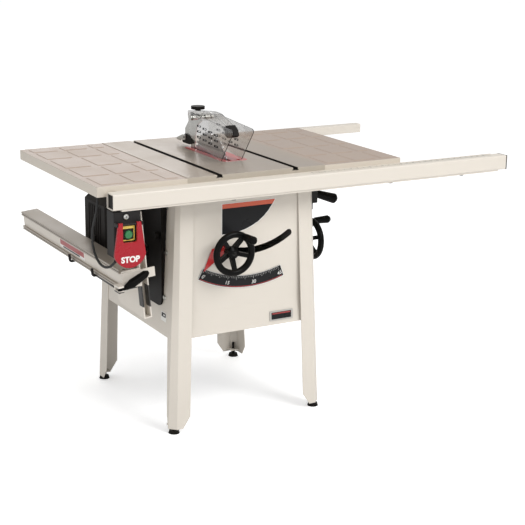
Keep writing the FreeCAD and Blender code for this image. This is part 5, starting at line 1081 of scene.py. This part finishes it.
# %% Switch
BOX_FACE, WORD_SIZE = -0.388, 0.0255
button = sum(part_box("start_button"), Vector()) / 2
button.y = at(0, BOX_FACE, 0).y
label(button, X, Z, [
    ("button_surround_top", (0.043, 0.0075), (-0.0215, 0.0185), 0.004, surround_yellow),
    ("button_surround_left", (0.0035, 0.038), (-0.0215, -0.0195), 0.004, surround_yellow),
    ("button_surround_right", (0.0035, 0.038), (0.018, -0.0195), 0.004, surround_yellow),
    ("button_surround_low", (0.036, 0.0035), (-0.018, -0.0195), 0.004, surround_yellow)],
    slot="red_plastic")
grow("switch_screw", pan_screws, {"Head radius": 0.0088, "Head height": 0.0028,
                                  "Facing": FRONTWARDS}, "saw",
     [from_front("switch_box", -0.486, 0.778)])
word_seat = from_front("stop_paddle", -0.480, 0.646) - Y * 0.0001
lettering("paddle_word", [("STOP", word_seat, X, Z)], WORD_SIZE, white_ink, body="paddle",
          bold=0.045)

# %% [markdown]
# Carbide tips are brazed to the teeth.  They lie on a circle, so the tree starts from a mesh
# circle and turns each copy to point outwards, away from the arbor.

# %% Carbide tips
blade_tips = Recipe("blade_tips", {"Count": 40, "Reach": 0.1235, "Size": (0.005, 0.0016, 0.0034),
                                   "Arbor": (0, 0, 0)})
given = blade_tips.given
ring = blade_tips.add("GeometryNodeMeshCircle", {"Vertices": given["Count"],
                                                 "Radius": given["Reach"]})
out = blade_tips.add("GeometryNodeInputPosition")
aimed = blade_tips.add("FunctionNodeAlignRotationToVector", {"Vector": out}, axis="X")
tips = blade_tips.copies(blade_tips.block(given["Size"]), ring, Rotation=aimed)
upright = blade_tips.shifted(tips, given["Arbor"], Rotation=(0, math.pi / 2, 0))
blade_tips.deliver((upright, bright))
grow("carbide_tips", blade_tips, {"Arbor": tuple(BLADE_CENTRE)}, "blade_spindle")

# %% [markdown]
# The clear guard leaves have four columns of three slots.  Seen through the clear plastic the
# slots look black, so each opening is lined with dark bars: painted shade, not a moulded part.
# One tree makes all twelve shade linings of a leaf from two steps: the index of a point is
# split into a column and a level by division and remainder, and each column sits a little lower.
# A shade lining is four bars: two flat ones above and below the opening, two tall ones at its
# ends.

# %% Painted shade in the slots of the guard
COLUMNS, ROWS = 4, 3
FIRST_SLOT_BACK, FIRST_SLOT_UP = 0.002, 0.059  # from the table's middle and from its top
# The bars are painted shade, made in the black of the grips.
slot_shade = Recipe("slot_shade", {
    "Opening": (0.0045, 0.024, 0.006), "Bar width": 0.0012, "Column step": (0, -0.042, -0.004),
    "Row step": (0, 0, 0.019), "First": (0, 0, 0), "Shade colour": grip_black})
given, total, vector = slot_shade.given, slot_shade.sum, slot_shade.vector
index = slot_shade.add("GeometryNodeInputIndex")
column, level = total("FLOOR", total("DIVIDE", index, ROWS)), total("MODULO", index, ROWS)
across, rise = (slot_shade.add("ShaderNodeVectorMath", {0: given[step], "Scale": times},
                                 operation="SCALE")
                for step, times in (("Column step", column), ("Row step", level)))
offset = vector_sum(slot_shade.tree, "ADD", across, rise)
deep, wide, high = slot_shade.add("ShaderNodeSeparateXYZ", {"Vector": given["Opening"]}).outputs
bar_width = given["Bar width"]
bars = []
for side in (0.5, -0.5):
    up, along = (total("MULTIPLY", total("SUBTRACT", size, bar_width), side) for size in (high, wide))
    for size, shift in ((vector(deep, wide, bar_width), vector(z=up)),
                        (vector(deep, bar_width, high), vector(y=along))):
        bars.append(slot_shade.shifted(slot_shade.block(size), shift))
shade_linings = slot_shade.copies(slot_shade.joined(*bars),
                              slot_shade.row(COLUMNS * ROWS, offset, given["First"]))
slot_shade.deliver((shade_linings, given["Shade colour"]))
for side in ("left", "right"):
    first = sum(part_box("guard_leaf_" + side), Vector()) / 2
    first.y, first.z = at(0, FIRST_SLOT_BACK, 0).y, TABLE_TOP + FIRST_SLOT_UP
    grow("guard_slot_shade_" + side, slot_shade, {"First": tuple(first)}, side + "_guard")

# %% [markdown]
# Small screws finish the rest: two on the scale, four that level the insert, and a black bolt in
# the hub of each handwheel.

# %% Remaining screws
SCREW_REACH, SCREW_ANGLES = 0.381, (-25.8, 18.4)  # on the tilt scale, from its axis
SUNK, FROM_THE_SIDE, FROM_THE_END = 0.0004, 0.010, 0.030  # in the insert
HUB_BOLTS = {"raise": (FRONTWARDS, from_front("raise_handwheel", -0.0947, 0.6077)),
             "tilt": (RIGHTWARDS, from_right("tilt_handwheel", -0.118, 0.5536))}

grow("scale_screws", pan_screws, {"Head radius": 0.0030, "Facing": FRONTWARDS}, "saw",
     [round_axis(SCREW_REACH, degrees) for degrees in SCREW_ANGLES])
insert_low, insert_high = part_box("table_insert")
insert_screws = [surface("table_insert", Vector((x, y, FAR)), -Z) - Z * SUNK
                 for x in (insert_low.x + FROM_THE_SIDE, insert_high.x - FROM_THE_SIDE)
                 for y in (insert_low.y + FROM_THE_END, insert_high.y - FROM_THE_END)]
grow("insert_screws", pan_screws, {"Head radius": 0.0035, "Head height": 0.0005}, "saw",
     insert_screws)
for wheel, (facing, hub) in HUB_BOLTS.items():
    grow(wheel + "_hub_bolt", hex_bolts, {"Head radius": 0.006, "Facing": facing,
                                          "Metal": black_enamel},
         wheel + "_wheel", [hub])
